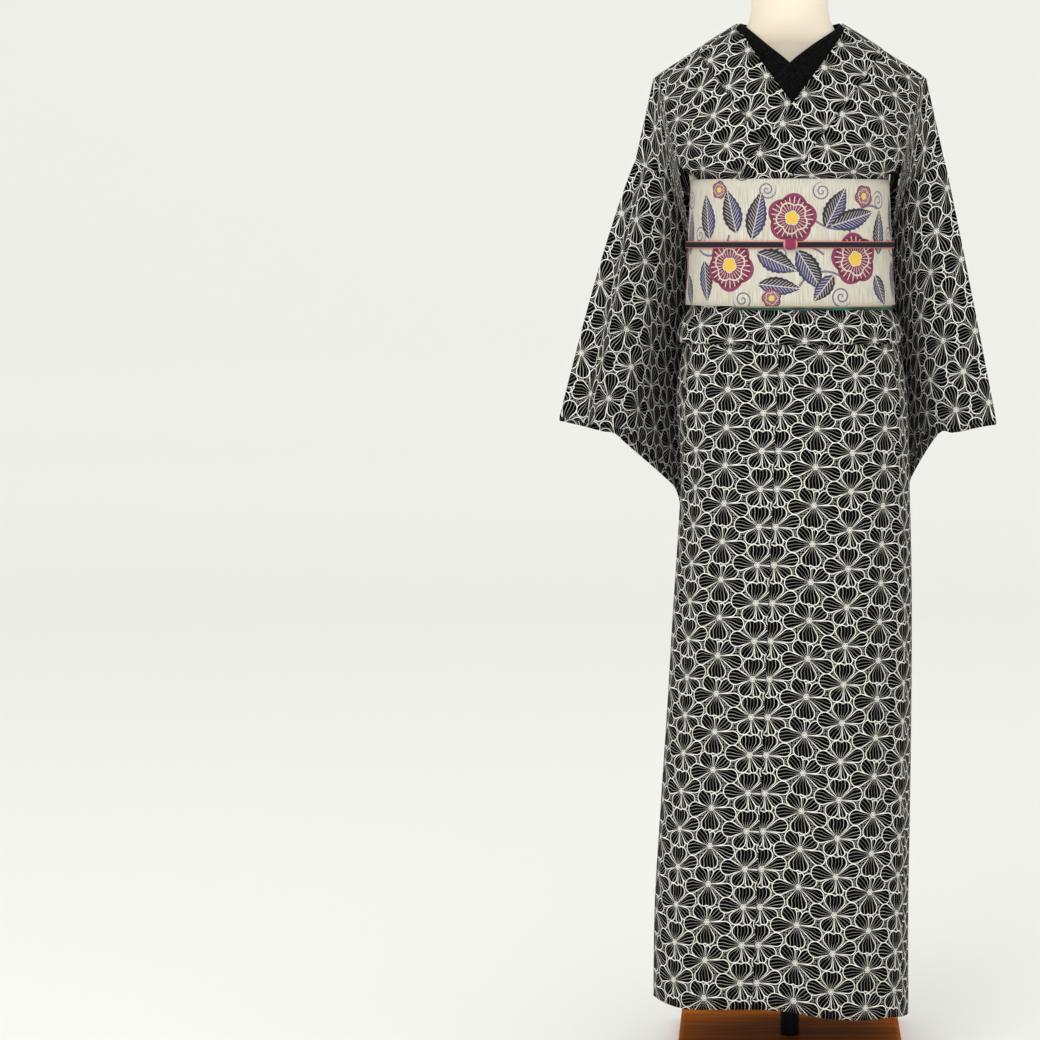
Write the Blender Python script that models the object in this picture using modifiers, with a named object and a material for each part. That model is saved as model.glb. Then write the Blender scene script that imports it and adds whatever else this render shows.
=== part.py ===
"""Lace kimono with its sash, worn by a limbless dress form on a wooden base.

Metres, +Z up. The garment faces -Y, and the wearer's left is +X. The origin is the centre
of the base board's underside. Every piece of cloth is an open surface, worked out from the
tables below, with a Solidify modifier that gives the wall.
"""

import bisect
import math
from collections import namedtuple

import bmesh
import bpy
from mathutils import Matrix, Vector

NAME = "lace_kimono"

# Base board and pole
BOARD_WIDTH = 0.292
BOARD_DEPTH = 0.360
BOARD_THICK = 0.024
BOARD_CHAMFER = 0.006
POLE_RADIUS = 0.0125

# Cloth
CLOTH = 0.0012
STIFF_CLOTH = 0.0020
LAYER = 0.0024
SEAM = 0.0003
ROUNDNESS = 2.4

# Heights where one construction ends and another starts
WAIST = 0.9898
SKIRT_GUESS = 0.070
SHOULDER_START = 1.165
OBI_BOTTOM = 0.981
OBI_TOP = 1.143
CORD_BOTTOM = 1.0545
CORD_TOP = 1.0635

# Worn body of the kimono: half widths at the wearer's left and right, half depths
Body = namedtuple("Body", "height left right front back")
BODY = (
    Body(0.050, 0.1550, 0.1800, 0.118, 0.116),
    Body(0.200, 0.1550, 0.1780, 0.118, 0.117),
    Body(0.320, 0.1570, 0.1708, 0.119, 0.118),
    Body(0.450, 0.1585, 0.1620, 0.120, 0.119),
    Body(0.575, 0.1590, 0.1545, 0.121, 0.120),
    Body(0.660, 0.1580, 0.1488, 0.121, 0.120),
    Body(0.740, 0.1560, 0.1446, 0.121, 0.120),
    Body(0.800, 0.1550, 0.1470, 0.121, 0.119),
    Body(0.860, 0.1530, 0.1510, 0.121, 0.118),
    Body(0.900, 0.1480, 0.1470, 0.120, 0.117),
    Body(0.935, 0.1405, 0.1400, 0.118, 0.115),
    Body(0.965, 0.1330, 0.1325, 0.116, 0.113),
    Body(0.990, 0.1280, 0.1275, 0.114, 0.111),
)

# Hem of the outer layer, by its distance to the wearer's left of the centre
Hem = namedtuple("Hem", "across height")
HEM = (
    Hem(-0.182, 0.084),
    Hem(-0.140, 0.080),
    Hem(-0.100, 0.083),
    Hem(-0.040, 0.086),
    Hem(0.000, 0.083),
    Hem(0.042, 0.075),
    Hem(0.090, 0.069),
    Hem(0.130, 0.066),
    Hem(0.160, 0.056),
)
BACK_HEM = 0.064
BACK_HEM_SLANT = -0.05
SKIRT_ROWS = (0.0, 0.08, 0.18, 0.3, 0.42, 0.54, 0.65, 0.74, 0.81, 0.87, 0.92, 0.96, 1.0)

# Seams and free edges of the skirt, as angles round the body
SEAM_ANGLE = 0.12
SIDE_SEAM = 113.0
INNER_EDGE = 98.0
OUTER_EDGE = 261.0
OUTER_EDGE_AT_HIP = 241.0
LEFT_OVERLAP_AT_WAIST = -0.012
LEFT_OVERLAP_SLANT = -0.040
RIGHT_OVERLAP = 0.034

# Upper body: rows up from the waist. Lift goes from 0 at the armpit to 1 on the shoulder.
Bust = namedtuple("Bust", "height lift half front back")
BUST = (
    Bust(0.9902, 0.00, 0.1275, 0.1140, 0.111),
    Bust(1.0500, 0.00, 0.1250, 0.1130, 0.108),
    Bust(1.1000, 0.00, 0.1240, 0.1135, 0.107),
    Bust(1.1350, 0.00, 0.1245, 0.1143, 0.108),
    Bust(1.1460, 0.00, 0.1290, 0.1152, 0.110),
    Bust(1.1530, 0.00, 0.1400, 0.1165, 0.112),
    Bust(1.1650, 0.00, 0.1520, 0.1185, 0.114),
    Bust(1.1650, 0.25, 0.1610, 0.1190, 0.115),
    Bust(1.1650, 0.50, 0.1670, 0.1180, 0.114),
    Bust(1.1650, 0.70, 0.1715, 0.1170, 0.112),
    Bust(1.1650, 0.85, 0.1755, 0.1165, 0.111),
    Bust(1.1650, 0.95, 0.1780, 0.1160, 0.110),
    Bust(1.1650, 1.00, 0.1790, 0.1160, 0.110),
)
FRONT_ROUND = 1.7
BACK_ROUND = 1.9
SHOULDER_Y = 0.005
COLUMNS_TO_SIDE = 9
COLUMNS_TO_ARM = 3
SIDE_SHARE = 0.955
# Behind, the free edge below the armhole turns in and hangs beside the sash
TUCKED_ROW = 1.153
TUCKED_TO = (0.123, 0.090, 1.050)

# Top line of the shoulder, from the neck outward
Ridge = namedtuple("Ridge", "across height")
RIDGE = (
    Ridge(0.000, 1.3850),
    Ridge(0.077, 1.3440),
    Ridge(0.130, 1.3100),
    Ridge(0.155, 1.2940),
    Ridge(0.170, 1.2840),
    Ridge(0.179, 1.2770),
)

# Armhole, from the shoulder fold down beside the body. Full is half the space inside.
Edge = namedtuple("Edge", "lift across depth height full")
ARMHOLE = (
    Edge(1.00, 0.2025, -0.004, 1.168, 0.0022),
    Edge(0.95, 0.1880, -0.006, 1.160, 0.0035),
    Edge(0.85, 0.1740, -0.005, 1.152, 0.0045),
    Edge(0.70, 0.1640, 0.001, 1.143, 0.0050),
    Edge(0.50, 0.1570, 0.012, 1.127, 0.0055),
    Edge(0.25, 0.1490, 0.029, 1.096, 0.0060),
    Edge(0.00, 0.1360, 0.066, 1.045, 0.0060),
)
# The sleeve's own edge goes on below the armhole to its lower corner
FREE_EDGE = (
    Edge(0.00, 0.1370, 0.098, 0.998, 0.0055),
    Edge(0.00, 0.1510, 0.137, 0.953, 0.0045),
    Edge(0.00, 0.1590, 0.185, 0.902, 0.0040),
    Edge(0.00, 0.1600, 0.235, 0.850, 0.0036),
)
# Cuff, from the fold (the outer corner) to the lower corner, a row for each row above
Cuff = namedtuple("Cuff", "across depth height full")
CUFF_RIGHT = (
    Cuff(0.3010, -0.012, 0.835, 0.0022),
    Cuff(0.2800, -0.010, 0.830, 0.0075),
    Cuff(0.2580, -0.007, 0.824, 0.0115),
    Cuff(0.2420, -0.004, 0.820, 0.0135),
    Cuff(0.2230, 0.002, 0.817, 0.0130),
    Cuff(0.2060, 0.020, 0.801, 0.0095),
    Cuff(0.1650, 0.080, 0.756, 0.0045),
    Cuff(0.1480, 0.120, 0.731, 0.0036),
    Cuff(0.1410, 0.174, 0.678, 0.0036),
    Cuff(0.1400, 0.229, 0.622, 0.0036),
    Cuff(0.1380, 0.286, 0.566, 0.0036),
)
CUFF_LEFT = (
    Cuff(0.2695, -0.012, 0.830, 0.0022),
    Cuff(0.2520, -0.010, 0.827, 0.0070),
    Cuff(0.2350, -0.007, 0.823, 0.0105),
    Cuff(0.2210, -0.004, 0.820, 0.0125),
    Cuff(0.2060, 0.003, 0.818, 0.0120),
    Cuff(0.1885, 0.018, 0.816, 0.0085),
    Cuff(0.1630, 0.078, 0.763, 0.0045),
    Cuff(0.1560, 0.118, 0.732, 0.0036),
    Cuff(0.1540, 0.171, 0.676, 0.0036),
    Cuff(0.1500, 0.225, 0.618, 0.0036),
    Cuff(0.1460, 0.282, 0.560, 0.0036),
)
SLEEVE_BACK_DROP = 0.006
# How far the outer fold of each sleeve swells sideways, and how that fades along a row
SWELL_LEFT = 0.001
SWELL_RIGHT = 0.006
SWELL_FADE = (1.0, 0.7, 0.35, 0.1)
SLEEVE_ROWS = (0.0, 0.17, 0.34, 0.5, 0.67, 0.84, 1.0)

# Seam that joins the collar to the body in front, by height
Sewn = namedtuple("Sewn", "height across")
SEWN_LINE = (
    Sewn(0.980, -0.0470),
    Sewn(1.060, -0.0395),
    Sewn(1.115, -0.0205),
    Sewn(1.162, 0.0140),
    Sewn(1.280, 0.0997),
    Sewn(1.316, 0.1215),
)
COLLAR_WIDTH = 0.055
# The lower side of the collar is folded a little wider
COLLAR_EXTRA = 0.005
ACROSS_BAND = (0.0, 0.25, 0.5, 0.75, 1.0)
# The same seam behind the neck, by the body's rows, and the collar's free edge there
Neck = namedtuple("Neck", "lift across free_across free_depth free_height")
NECK = (
    Neck(0.50, 0.000, 0.000, 0.0860, 1.3340),
    Neck(0.70, 0.055, 0.034, 0.0770, 1.3400),
    Neck(0.85, 0.088, 0.056, 0.0575, 1.3445),
    Neck(0.95, 0.112, 0.070, 0.0320, 1.3460),
)
COLLAR_PROUD = 0.0008
COLLAR_SUNK = 0.0042
# Inner collar: its neck edge and its hidden edge, from the centre back to its end in front.
# Where depth is None the band lies on the front of the body.
Band = namedtuple("Band", "across depth height low_across low_depth low_height")
INNER_COLLAR = (
    Band(0.0000, 0.0740, 1.3420, 0.0000, 0.0830, 1.3120),
    Band(0.0280, 0.0675, 1.3455, 0.0360, 0.0760, 1.3160),
    Band(0.0480, 0.0500, 1.3485, 0.0640, 0.0550, 1.3240),
    Band(0.0615, 0.0280, 1.3500, 0.0820, 0.0300, 1.3300),
    Band(0.0650, 0.0050, 1.3490, 0.0870, 0.0050, 1.3310),
    Band(0.0590, None, 1.3420, 0.0800, None, 1.3240),
    Band(0.0300, None, 1.3205, 0.0600, None, 1.2960),
    Band(0.0000, None, 1.2970, 0.0370, None, 1.2620),
    Band(-0.0260, None, 1.2680, 0.0110, None, 1.2300),
)
INNER_SUNK_TOP = 0.0050
INNER_LIFT = 0.005
INNER_SUNK_LEFT = 0.0074
INNER_SUNK_RIGHT = 0.0104

# Waist tuck, as a path down outside and up inside, out from the body of the skirt
Tuck = namedtuple("Tuck", "height out")
TUCK = (
    Tuck(0.9885, 0.0012),
    Tuck(0.9800, 0.0013),
    Tuck(0.9720, 0.0016),
    Tuck(0.9645, 0.0060),
    Tuck(0.9510, 0.0092),
    Tuck(0.9390, 0.0080),
    Tuck(0.9325, 0.0048),
    Tuck(0.9375, 0.0020),
    Tuck(0.9540, 0.0020),
)
TUCK_COLUMNS = 44

# Sash wrap, outer surface
OBI = (
    Body(OBI_BOTTOM, 0.1376, 0.1368, 0.1228, 0.1190),
    Body(1.0100, 0.1360, 0.1350, 0.1222, 0.1180),
    Body(1.0600, 0.1335, 0.1335, 0.1217, 0.1170),
    Body(1.1100, 0.1315, 0.1315, 0.1212, 0.1160),
    Body(OBI_TOP, 0.1300, 0.1300, 0.1208, 0.1155),
)
OBI_THICK = 0.0025
OBI_COLUMNS = 60
UNDERLAYER_ROWS = (0.9755, 0.985, 1.010)
UNDERLAYER_THICK = 0.0008
UNDERLAYER_GAP = 0.0004
UNDERLAYER_START = 100.0
UNDERLAYER_SPAN = 108.0
UNDERLAYER_COLUMNS = 20

# Drum knot and tail, seen from the side
Fold = namedtuple("Fold", "depth height")
DRUM = (
    Fold(0.1172, 1.110),
    Fold(0.1210, 1.155),
    Fold(0.1380, 1.180),
    Fold(0.1650, 1.186),
    Fold(0.1900, 1.174),
    Fold(0.2060, 1.135),
    Fold(0.2130, 1.060),
    Fold(0.2120, 0.975),
    Fold(0.2040, 0.915),
    Fold(0.1880, 0.888),
    Fold(0.1690, 0.886),
    Fold(0.1550, 0.905),
    Fold(0.1500, 0.970),
    Fold(0.1480, 1.070),
)
TAIL = (
    Fold(0.1190, 1.046),
    Fold(0.1210, 0.990),
    Fold(0.1290, 0.955),
    Fold(0.1330, 0.900),
    Fold(0.1350, 0.805),
)
KNOT_HALF = 0.135
TAIL_HALF = 0.131
KNOT_BOW = 0.010
KNOT_COLUMNS = 8
END_HALF = 0.158
END_BOTTOM = 1.012
END_TOP = 1.088
END_DEPTH = 0.1450
END_THICK = 0.003

# Cord
CORD_THICK = 0.0035
CORD_KNOT_CENTRE = 1.060
CORD_KNOT_SIZE = (0.0185, 0.0110, 0.0150)
CORD_KNOT_BACK = 0.3
CORD_KNOT_PROUD = 0.15
CORD_KNOT_SQUARE = 0.8

# Dress form: half width, half depths
Form = namedtuple("Form", "height half front back square")
FORM = (
    Form(0.6000, 0.1000, 0.0800, 0.0800, 2.4),
    Form(0.6120, 0.1180, 0.0950, 0.0930, 2.4),
    Form(0.6500, 0.1300, 0.1020, 0.1010, 2.4),
    Form(0.7200, 0.1360, 0.1060, 0.1060, 2.4),
    Form(0.8000, 0.1360, 0.1070, 0.1070, 2.4),
    Form(0.8900, 0.1270, 0.1020, 0.1000, 2.4),
    Form(0.9800, 0.1130, 0.0960, 0.0920, 2.4),
    Form(1.0500, 0.1070, 0.0940, 0.0890, 2.4),
    Form(1.1100, 0.1100, 0.0980, 0.0900, 2.4),
    Form(1.1600, 0.1220, 0.1020, 0.0930, 2.4),
    Form(1.2000, 0.1380, 0.0960, 0.0920, 2.4),
    Form(1.2350, 0.1550, 0.0820, 0.0830, 2.4),
    Form(1.2600, 0.1640, 0.0620, 0.0660, 2.4),
    Form(1.2750, 0.1655, 0.0480, 0.0520, 2.4),
    Form(1.2865, 0.1600, 0.0400, 0.0440, 2.4),
    Form(1.2943, 0.1490, 0.0360, 0.0400, 2.4),
    Form(1.3057, 0.1312, 0.0360, 0.0400, 2.4),
    Form(1.3188, 0.1100, 0.0370, 0.0400, 2.4),
    Form(1.3212, 0.0950, 0.0380, 0.0410, 2.3),
    Form(1.3235, 0.0790, 0.0390, 0.0420, 2.2),
    Form(1.3300, 0.0680, 0.0410, 0.0430, 2.1),
    Form(1.3410, 0.0590, 0.0440, 0.0460, 2.0),
    Form(1.3500, 0.0540, 0.0470, 0.0480, 2.0),
    Form(1.3650, 0.0510, 0.0495, 0.0495, 2.0),
    Form(1.3900, 0.0500, 0.0490, 0.0490, 2.0),
    Form(1.4000, 0.0480, 0.0475, 0.0475, 2.0),
    Form(1.4050, 0.0440, 0.0430, 0.0430, 2.0),
)
FORM_SIDES = 40

COLOURS = {
    "lace": ((0.045, 0.043, 0.046), 0.80, 0.0),
    "black_collar": ((0.012, 0.012, 0.014), 0.75, 0.0),
    "obi_cloth": ((0.62, 0.57, 0.47), 0.70, 0.0),
    "obi_reverse": ((0.030, 0.115, 0.105), 0.65, 0.0),
    "cord": ((0.018, 0.022, 0.060), 0.55, 0.0),
    "cord_knot": ((0.330, 0.020, 0.110), 0.50, 0.0),
    "form_cloth": ((0.780, 0.660, 0.520), 0.75, 0.0),
    "pole_metal": ((0.560, 0.560, 0.570), 0.30, 1.0),
    "base_wood": ((0.420, 0.130, 0.025), 0.30, 0.0),
}


def start():
    """Empty the scene and make the part's own collection."""
    for thing in list(bpy.data.objects):
        bpy.data.objects.remove(thing, do_unlink=True)
    group = bpy.data.collections.new(NAME)
    bpy.context.scene.collection.children.link(group)
    return group


def make_material(name):
    colour, roughness, metallic = COLOURS[name]
    material = bpy.data.materials.new(name)
    material.use_nodes = True
    shader = material.node_tree.nodes["Principled BSDF"]
    shader.inputs["Base Color"].default_value = (*colour, 1.0)
    shader.inputs["Roughness"].default_value = roughness
    shader.inputs["Metallic"].default_value = metallic
    return material


GROUP = start()
MATERIALS = {name: make_material(name) for name in COLOURS}


def between(table, at):
    """A table's row at a value of its first column, on smooth curves through its rows."""
    keys = [row[0] for row in table]
    at = min(max(at, keys[0]), keys[-1])
    i = min(max(bisect.bisect_right(keys, at) - 1, 0), len(keys) - 2)
    span = keys[i + 1] - keys[i]
    t = (at - keys[i]) / span

    def slope(k, column):
        low = max(k - 1, 0)
        high = min(k + 1, len(keys) - 1)
        return (table[high][column] - table[low][column]) / (keys[high] - keys[low])

    values = [at]
    for column in range(1, len(table[0])):
        start_value = table[i][column]
        end_value = table[i + 1][column]
        values.append(
            (2 * t**3 - 3 * t**2 + 1) * start_value
            + (t**3 - 2 * t**2 + t) * span * slope(i, column)
            + (3 * t**2 - 2 * t**3) * end_value
            + (t**3 - t**2) * span * slope(i + 1, column)
        )
    return type(table[0])(*values)


def ease(value, low, high):
    """0 below low, 1 above high and a smooth step between."""
    t = min(max((value - low) / (high - low), 0.0), 1.0)
    return t * t * (3 - 2 * t)


def power(value, exponent):
    return math.copysign(abs(value) ** exponent, value)


def around(row, angle, out=0.0, square=ROUNDNESS):
    """Point of a body section. 0 degrees is the centre back, 90 the wearer's left side."""
    s = math.sin(math.radians(angle))
    c = math.cos(math.radians(angle))
    half = row.left if s > 0 else row.right
    depth = row.back if c > 0 else row.front
    x = power(s, 2 / square) * (half + out)
    y = power(c, 2 / square) * (depth + out)
    return Vector((x, y, row.height))


def front_angle(row, across):
    """Angle of the point of the front that is this far to the wearer's left."""
    half = row.left if across > 0 else row.right
    s = power(min(abs(across) / half, 1.0), ROUNDNESS / 2)
    return 180.0 - math.degrees(math.asin(math.copysign(s, across)))


def finish(thing, material, smooth=40):
    """Put an object in the part's collection with its material."""
    for other in list(thing.users_collection):
        other.objects.unlink(thing)
    GROUP.objects.link(thing)
    thing.data.materials.clear()
    thing.data.materials.append(MATERIALS[material])
    thing.data.shade_smooth()
    thing.data.set_sharp_from_angle(angle=math.radians(smooth))
    return thing


def surface(name, grid, material, wrap=False, inside=(0.0, 0.0, 1.1), keep=None):
    """An open surface through rows of points, with its faces turned away from inside."""
    mesh = bpy.data.meshes.new(name)
    shape = bmesh.new()
    points = [[shape.verts.new(point) for point in row] for row in grid]
    columns = len(grid[0])
    for i in range(len(grid) - 1):
        for j in range(columns if wrap else columns - 1):
            if keep and not keep(i, j):
                continue
            k = (j + 1) % columns
            shape.faces.new((points[i][j], points[i][k], points[i + 1][k], points[i + 1][j]))
    for vertex in [v for v in shape.verts if not v.link_faces]:
        shape.verts.remove(vertex)
    shape.normal_update()
    centre = Vector(inside)
    turned = 0.0
    for face in shape.faces:
        away = face.calc_center_median() - centre
        turned += face.normal.dot(away) * face.calc_area()
    if turned < 0:
        bmesh.ops.reverse_faces(shape, faces=shape.faces)
    shape.to_mesh(mesh)
    shape.free()
    thing = bpy.data.objects.new(name, mesh)
    GROUP.objects.link(thing)
    return finish(thing, material)


def wall(thing, thick, offset=-1.0, even=True):
    """Give a surface its thickness, inward unless offset says otherwise."""
    solid = thing.modifiers.new("wall", "SOLIDIFY")
    solid.thickness = thick
    solid.offset = offset
    solid.use_even_offset = even
    return thing


def base_board():
    bpy.ops.mesh.primitive_cube_add(size=1.0, location=(0.0, 0.0, BOARD_THICK / 2))
    board = bpy.context.object
    board.name = "base_board"
    board.data.transform(Matrix.Diagonal((BOARD_WIDTH, BOARD_DEPTH, BOARD_THICK, 1.0)))
    bevel = board.modifiers.new("chamfer", "BEVEL")
    bevel.width = BOARD_CHAMFER
    bevel.segments = 2
    bevel.limit_method = "ANGLE"
    return finish(board, "base_wood")


def form_pole():
    bottom = BOARD_THICK + SEAM
    top = FORM[0].height - SEAM
    bpy.ops.mesh.primitive_cylinder_add(
        vertices=28,
        radius=POLE_RADIUS,
        depth=top - bottom,
        location=(0.0, SHOULDER_Y, (top + bottom) / 2),
    )
    pole = bpy.context.object
    pole.name = "form_pole"
    return finish(pole, "pole_metal")


def form_torso():
    """Loft of rounded sections, closed flat below and at the top of the neck."""
    mesh = bpy.data.meshes.new("form_torso")
    shape = bmesh.new()
    rings = []
    for row in FORM:
        section = Body(row.height, row.half, row.half, row.front, row.back)
        ring = []
        for k in range(FORM_SIDES):
            point = around(section, 360.0 * k / FORM_SIDES, square=row.square)
            ring.append(shape.verts.new(point + Vector((0.0, SHOULDER_Y, 0.0))))
        rings.append(ring)
    for lower, upper in zip(rings, rings[1:]):
        for k in range(FORM_SIDES):
            n = (k + 1) % FORM_SIDES
            shape.faces.new((lower[k], lower[n], upper[n], upper[k]))
    shape.faces.new(rings[0])
    shape.faces.new(rings[-1])
    bmesh.ops.recalc_face_normals(shape, faces=shape.faces)
    shape.to_mesh(mesh)
    shape.free()
    torso = bpy.data.objects.new("form_torso", mesh)
    GROUP.objects.link(torso)
    return finish(torso, "form_cloth", 60)


def hem_height(across, angle):
    """Hem in front by the photo's outline, level behind."""
    front = between(HEM, across).height
    behind = ease(-math.cos(math.radians(angle)), -0.2, 0.3)
    back = BACK_HEM + BACK_HEM_SLANT * across
    return back + (front - back) * behind


def skirt_panel(name, first, last, columns, inset):
    """A panel between two seams, each a function that gives its angle on a row."""
    grid = []
    for share in SKIRT_ROWS:
        guess = between(BODY, SKIRT_GUESS + (WAIST - SKIRT_GUESS) * share)
        start_angle = first(guess) + SEAM_ANGLE
        end_angle = last(guess) - SEAM_ANGLE
        line = []
        for k in range(columns + 1):
            angle = start_angle + (end_angle - start_angle) * k / columns
            across = around(guess, angle).x
            low = hem_height(across, angle)
            row = between(BODY, low + (WAIST - low) * share)
            line.append(around(row, angle, -inset(angle)))
        grid.append(line)
    return wall(surface(name, grid, "lace", inside=(0.0, 0.0, 0.5)), CLOTH)


def centre_back(row):
    return 0.0


def centre_back_again(row):
    return 360.0


def left_side(row):
    return SIDE_SEAM


def right_side(row):
    return 360.0 - SIDE_SEAM


def overlap_seam(row):
    """Seam between the left front and its overlap panel, nearly straight down the front."""
    drop = (WAIST - row.height) / WAIST
    return front_angle(row, LEFT_OVERLAP_AT_WAIST + LEFT_OVERLAP_SLANT * drop)


def inner_overlap_seam(row):
    return front_angle(row, RIGHT_OVERLAP)


def outer_front_edge(row):
    """The free front edge: near the right side, and a little inside it at the hip."""
    hip = ease(row.height, 0.70, 0.84)
    return OUTER_EDGE + (OUTER_EDGE_AT_HIP - OUTER_EDGE) * hip


def inner_front_edge(row):
    return INNER_EDGE


def outer_layer(angle):
    return 0.0


def inner_layer(angle):
    return LAYER


def left_back_layer(angle):
    """The left back starts in the lower layer at the centre and comes out at the side."""
    return LAYER * (1 - ease(angle, 15.0, 80.0))


def skirt():
    skirt_panel("back_left", centre_back, left_side, 14, left_back_layer)
    skirt_panel("front_left", left_side, overlap_seam, 9, outer_layer)
    skirt_panel("okumi_left", overlap_seam, outer_front_edge, 9, outer_layer)
    skirt_panel("back_right", right_side, centre_back_again, 14, inner_layer)
    skirt_panel("front_right", inner_overlap_seam, right_side, 9, inner_layer)
    skirt_panel("okumi_right", inner_front_edge, inner_overlap_seam, 8, inner_layer)


def waist_fold():
    grid = []
    for row in TUCK:
        section = between(BODY, row.height)
        turn = 360.0 / TUCK_COLUMNS
        grid.append([around(section, turn * k, row.out) for k in range(TUCK_COLUMNS)])
    return wall(surface("waist_fold", grid, "lace", wrap=True, inside=(0, 0, 0.95)), CLOTH, 0.0)


def ridge(across):
    return between(RIDGE, abs(across)).height


def bust_height(row, across):
    return row.height + (ridge(across) - row.height) * row.lift


def bust_point(row, across, side):
    """Point of the front (side -1) or the back (side 1) of the upper body."""
    reach = min(abs(across) / row.half, 1.0)
    section = (1 - reach**ROUNDNESS) ** (1 / ROUNDNESS)
    if side < 0:
        depth = row.front * (1 - row.lift**FRONT_ROUND) ** (1 / FRONT_ROUND)
    else:
        depth = row.back * (1 - row.lift**BACK_ROUND) ** (1 / BACK_ROUND)
    shift = SHOULDER_Y * row.lift
    return Vector((across, shift + side * section * depth, bust_height(row, across)))


# The same rows by their place, so that a point between two rows can be found
BustAt = namedtuple("BustAt", "place height lift half front back")
BUST_AT = [BustAt(place, *row) for place, row in enumerate(BUST)]


def front_depth(across, height):
    """Depth of the front surface at a place across and a height."""
    low = 0.0
    high = len(BUST_AT) - 1.0
    for _ in range(30):
        middle = (low + high) / 2
        if bust_height(between(BUST_AT, middle), across) < height:
            low = middle
        else:
            high = middle
    row = between(BUST_AT, low)
    return bust_point(row._replace(lift=min(max(row.lift, 0.0), 1.0)), across, -1).y


def on_front(across, height, sunk=0.0):
    """Point sunk below the front surface, at right angles to it."""
    step = 0.002
    depth = front_depth(across, height)
    turn = (front_depth(across + step, height) - front_depth(across - step, height)) / (2 * step)
    slope = (depth - front_depth(across, height - step)) / step
    out = Vector((turn, -1.0, slope)).normalized()
    return Vector((across, depth, height)) - out * sunk


def sewn_at(row):
    """Where the collar's seam crosses a row of the front, worked out along the row."""
    across = 0.1
    for _ in range(14):
        across = between(SEWN_LINE, bust_height(row, across)).across
    return across


def layers(middle, full, side):
    """Front and back layer of a sleeve on either side of its middle line."""
    front = []
    back = []
    for k, point in enumerate(middle):
        along = middle[min(k + 1, len(middle) - 1)] - middle[max(k - 1, 0)]
        out = Vector((along.y, -along.x, 0.0)).normalized() * side * full[k]
        front.append(point - out)
        back.append(point + out)
    return front, back


def armhole_layers(side):
    rail = ARMHOLE + FREE_EDGE
    middle = [Vector((side * edge.across, edge.depth, edge.height)) for edge in rail]
    return layers(middle, [edge.full for edge in rail], side)


def inner_start(row, facing):
    """Where a row of the bodice starts: at the collar's seam, or at the centre back."""
    if facing < 0 or row.lift == 1.0:
        return sewn_at(row) + 2 * SEAM
    behind = {neck.lift: neck.across for neck in NECK}
    return max(behind.get(row.lift, 0.0) + 2 * SEAM * (row.lift > 0.5), SEAM / 2)


def bodice(name, side):
    """Front and back in one length over the shoulder, with the drop to the armhole.

    The left front lies over the right, so the right one is sunk where they cross.
    """
    front_rows = list(BUST)
    back_rows = list(reversed(BUST[:-1]))
    front, back = armhole_layers(side)
    grid = []
    wide = []
    for facing, rows in ((-1, front_rows), (1, back_rows)):
        for row in rows:
            start_at = inner_start(row, facing)
            end_at = row.half * SIDE_SHARE if row.lift < 1 else row.half
            line = []
            for k in range(COLUMNS_TO_SIDE + 1):
                across = start_at + (end_at - start_at) * k / COLUMNS_TO_SIDE
                point = bust_point(row, side * across, facing)
                if facing < 0 and side < 0:
                    crossing = ease(-across, -0.15, -0.11) * (1 - ease(row.lift, 0.6, 1.0))
                    point.y += (LAYER + SEAM * 2) * crossing
                line.append(point)
            has_arm = row.height >= SHOULDER_START
            tucked = facing > 0 and row.height == TUCKED_ROW
            if tucked:
                goal = Vector((side * TUCKED_TO[0], TUCKED_TO[1], TUCKED_TO[2]))
                for k in range(1, COLUMNS_TO_ARM + 1):
                    line.append(line[COLUMNS_TO_SIDE].lerp(goal, k / COLUMNS_TO_ARM))
            elif has_arm:
                place = [edge.lift for edge in ARMHOLE].index(row.lift)
                goal = (front if facing < 0 else back)[place]
                if row.lift == 1.0:
                    goal = (front[0] + back[0]) / 2
                top = line[COLUMNS_TO_SIDE]
                goal = goal + (top - goal).normalized() * SEAM * 4
                for k in range(1, COLUMNS_TO_ARM + 1):
                    line.append(top.lerp(goal, k / COLUMNS_TO_ARM))
            else:
                for k in range(1, COLUMNS_TO_ARM + 1):
                    line.append(line[COLUMNS_TO_SIDE] + Vector((0.0, 0.0, -0.01 * k)))
            grid.append(line)
            wide.append(has_arm or tucked)

    def keep(i, j):
        return j < COLUMNS_TO_SIDE or (wide[i] and wide[i + 1])

    cloth = surface(name, grid, "lace", inside=(0.0, 0.0, 1.12), keep=keep)
    return wall(cloth, CLOTH, even=False)


def collar_side(side, sunk_cross):
    """Rows of one side of the collar, from the centre back down to its end."""
    rows = []
    for neck in NECK:
        body_row = next(row for row in BUST if row.lift == neck.lift)
        sewn = bust_point(body_row, side * neck.across, 1) + Vector((0.0, 0.0, 2 * SEAM))
        free = Vector((side * neck.free_across, neck.free_depth, neck.free_height))
        rows.append([free.lerp(sewn, share) for share in ACROSS_BAND])
    for body_row in reversed(BUST):
        across = sewn_at(body_row)
        height = bust_height(body_row, across)
        step = 0.004
        rise = between(SEWN_LINE, height + step).across - between(SEWN_LINE, height - step).across
        tilt = math.atan2(max(rise, 0.0), 2 * step)
        crossing = ease(-height, -1.31, -1.24)
        width = COLLAR_WIDTH + COLLAR_EXTRA * (side < 0) * (1 - ease(body_row.lift, 0.85, 1.0))
        line = []
        for share in ACROSS_BAND:
            up = width * (1 - share)
            place = across - up * math.cos(tilt)
            at = height + up * math.sin(tilt)
            sunk = sunk_cross * crossing - COLLAR_PROUD * (1 - crossing * (side < 0))
            if body_row.lift == 1.0:
                line.append(Vector((side * place, SHOULDER_Y, ridge(place) + COLLAR_PROUD)))
            else:
                line.append(on_front(side * place, at, sunk))
        rows.append(line)
    return rows


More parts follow.
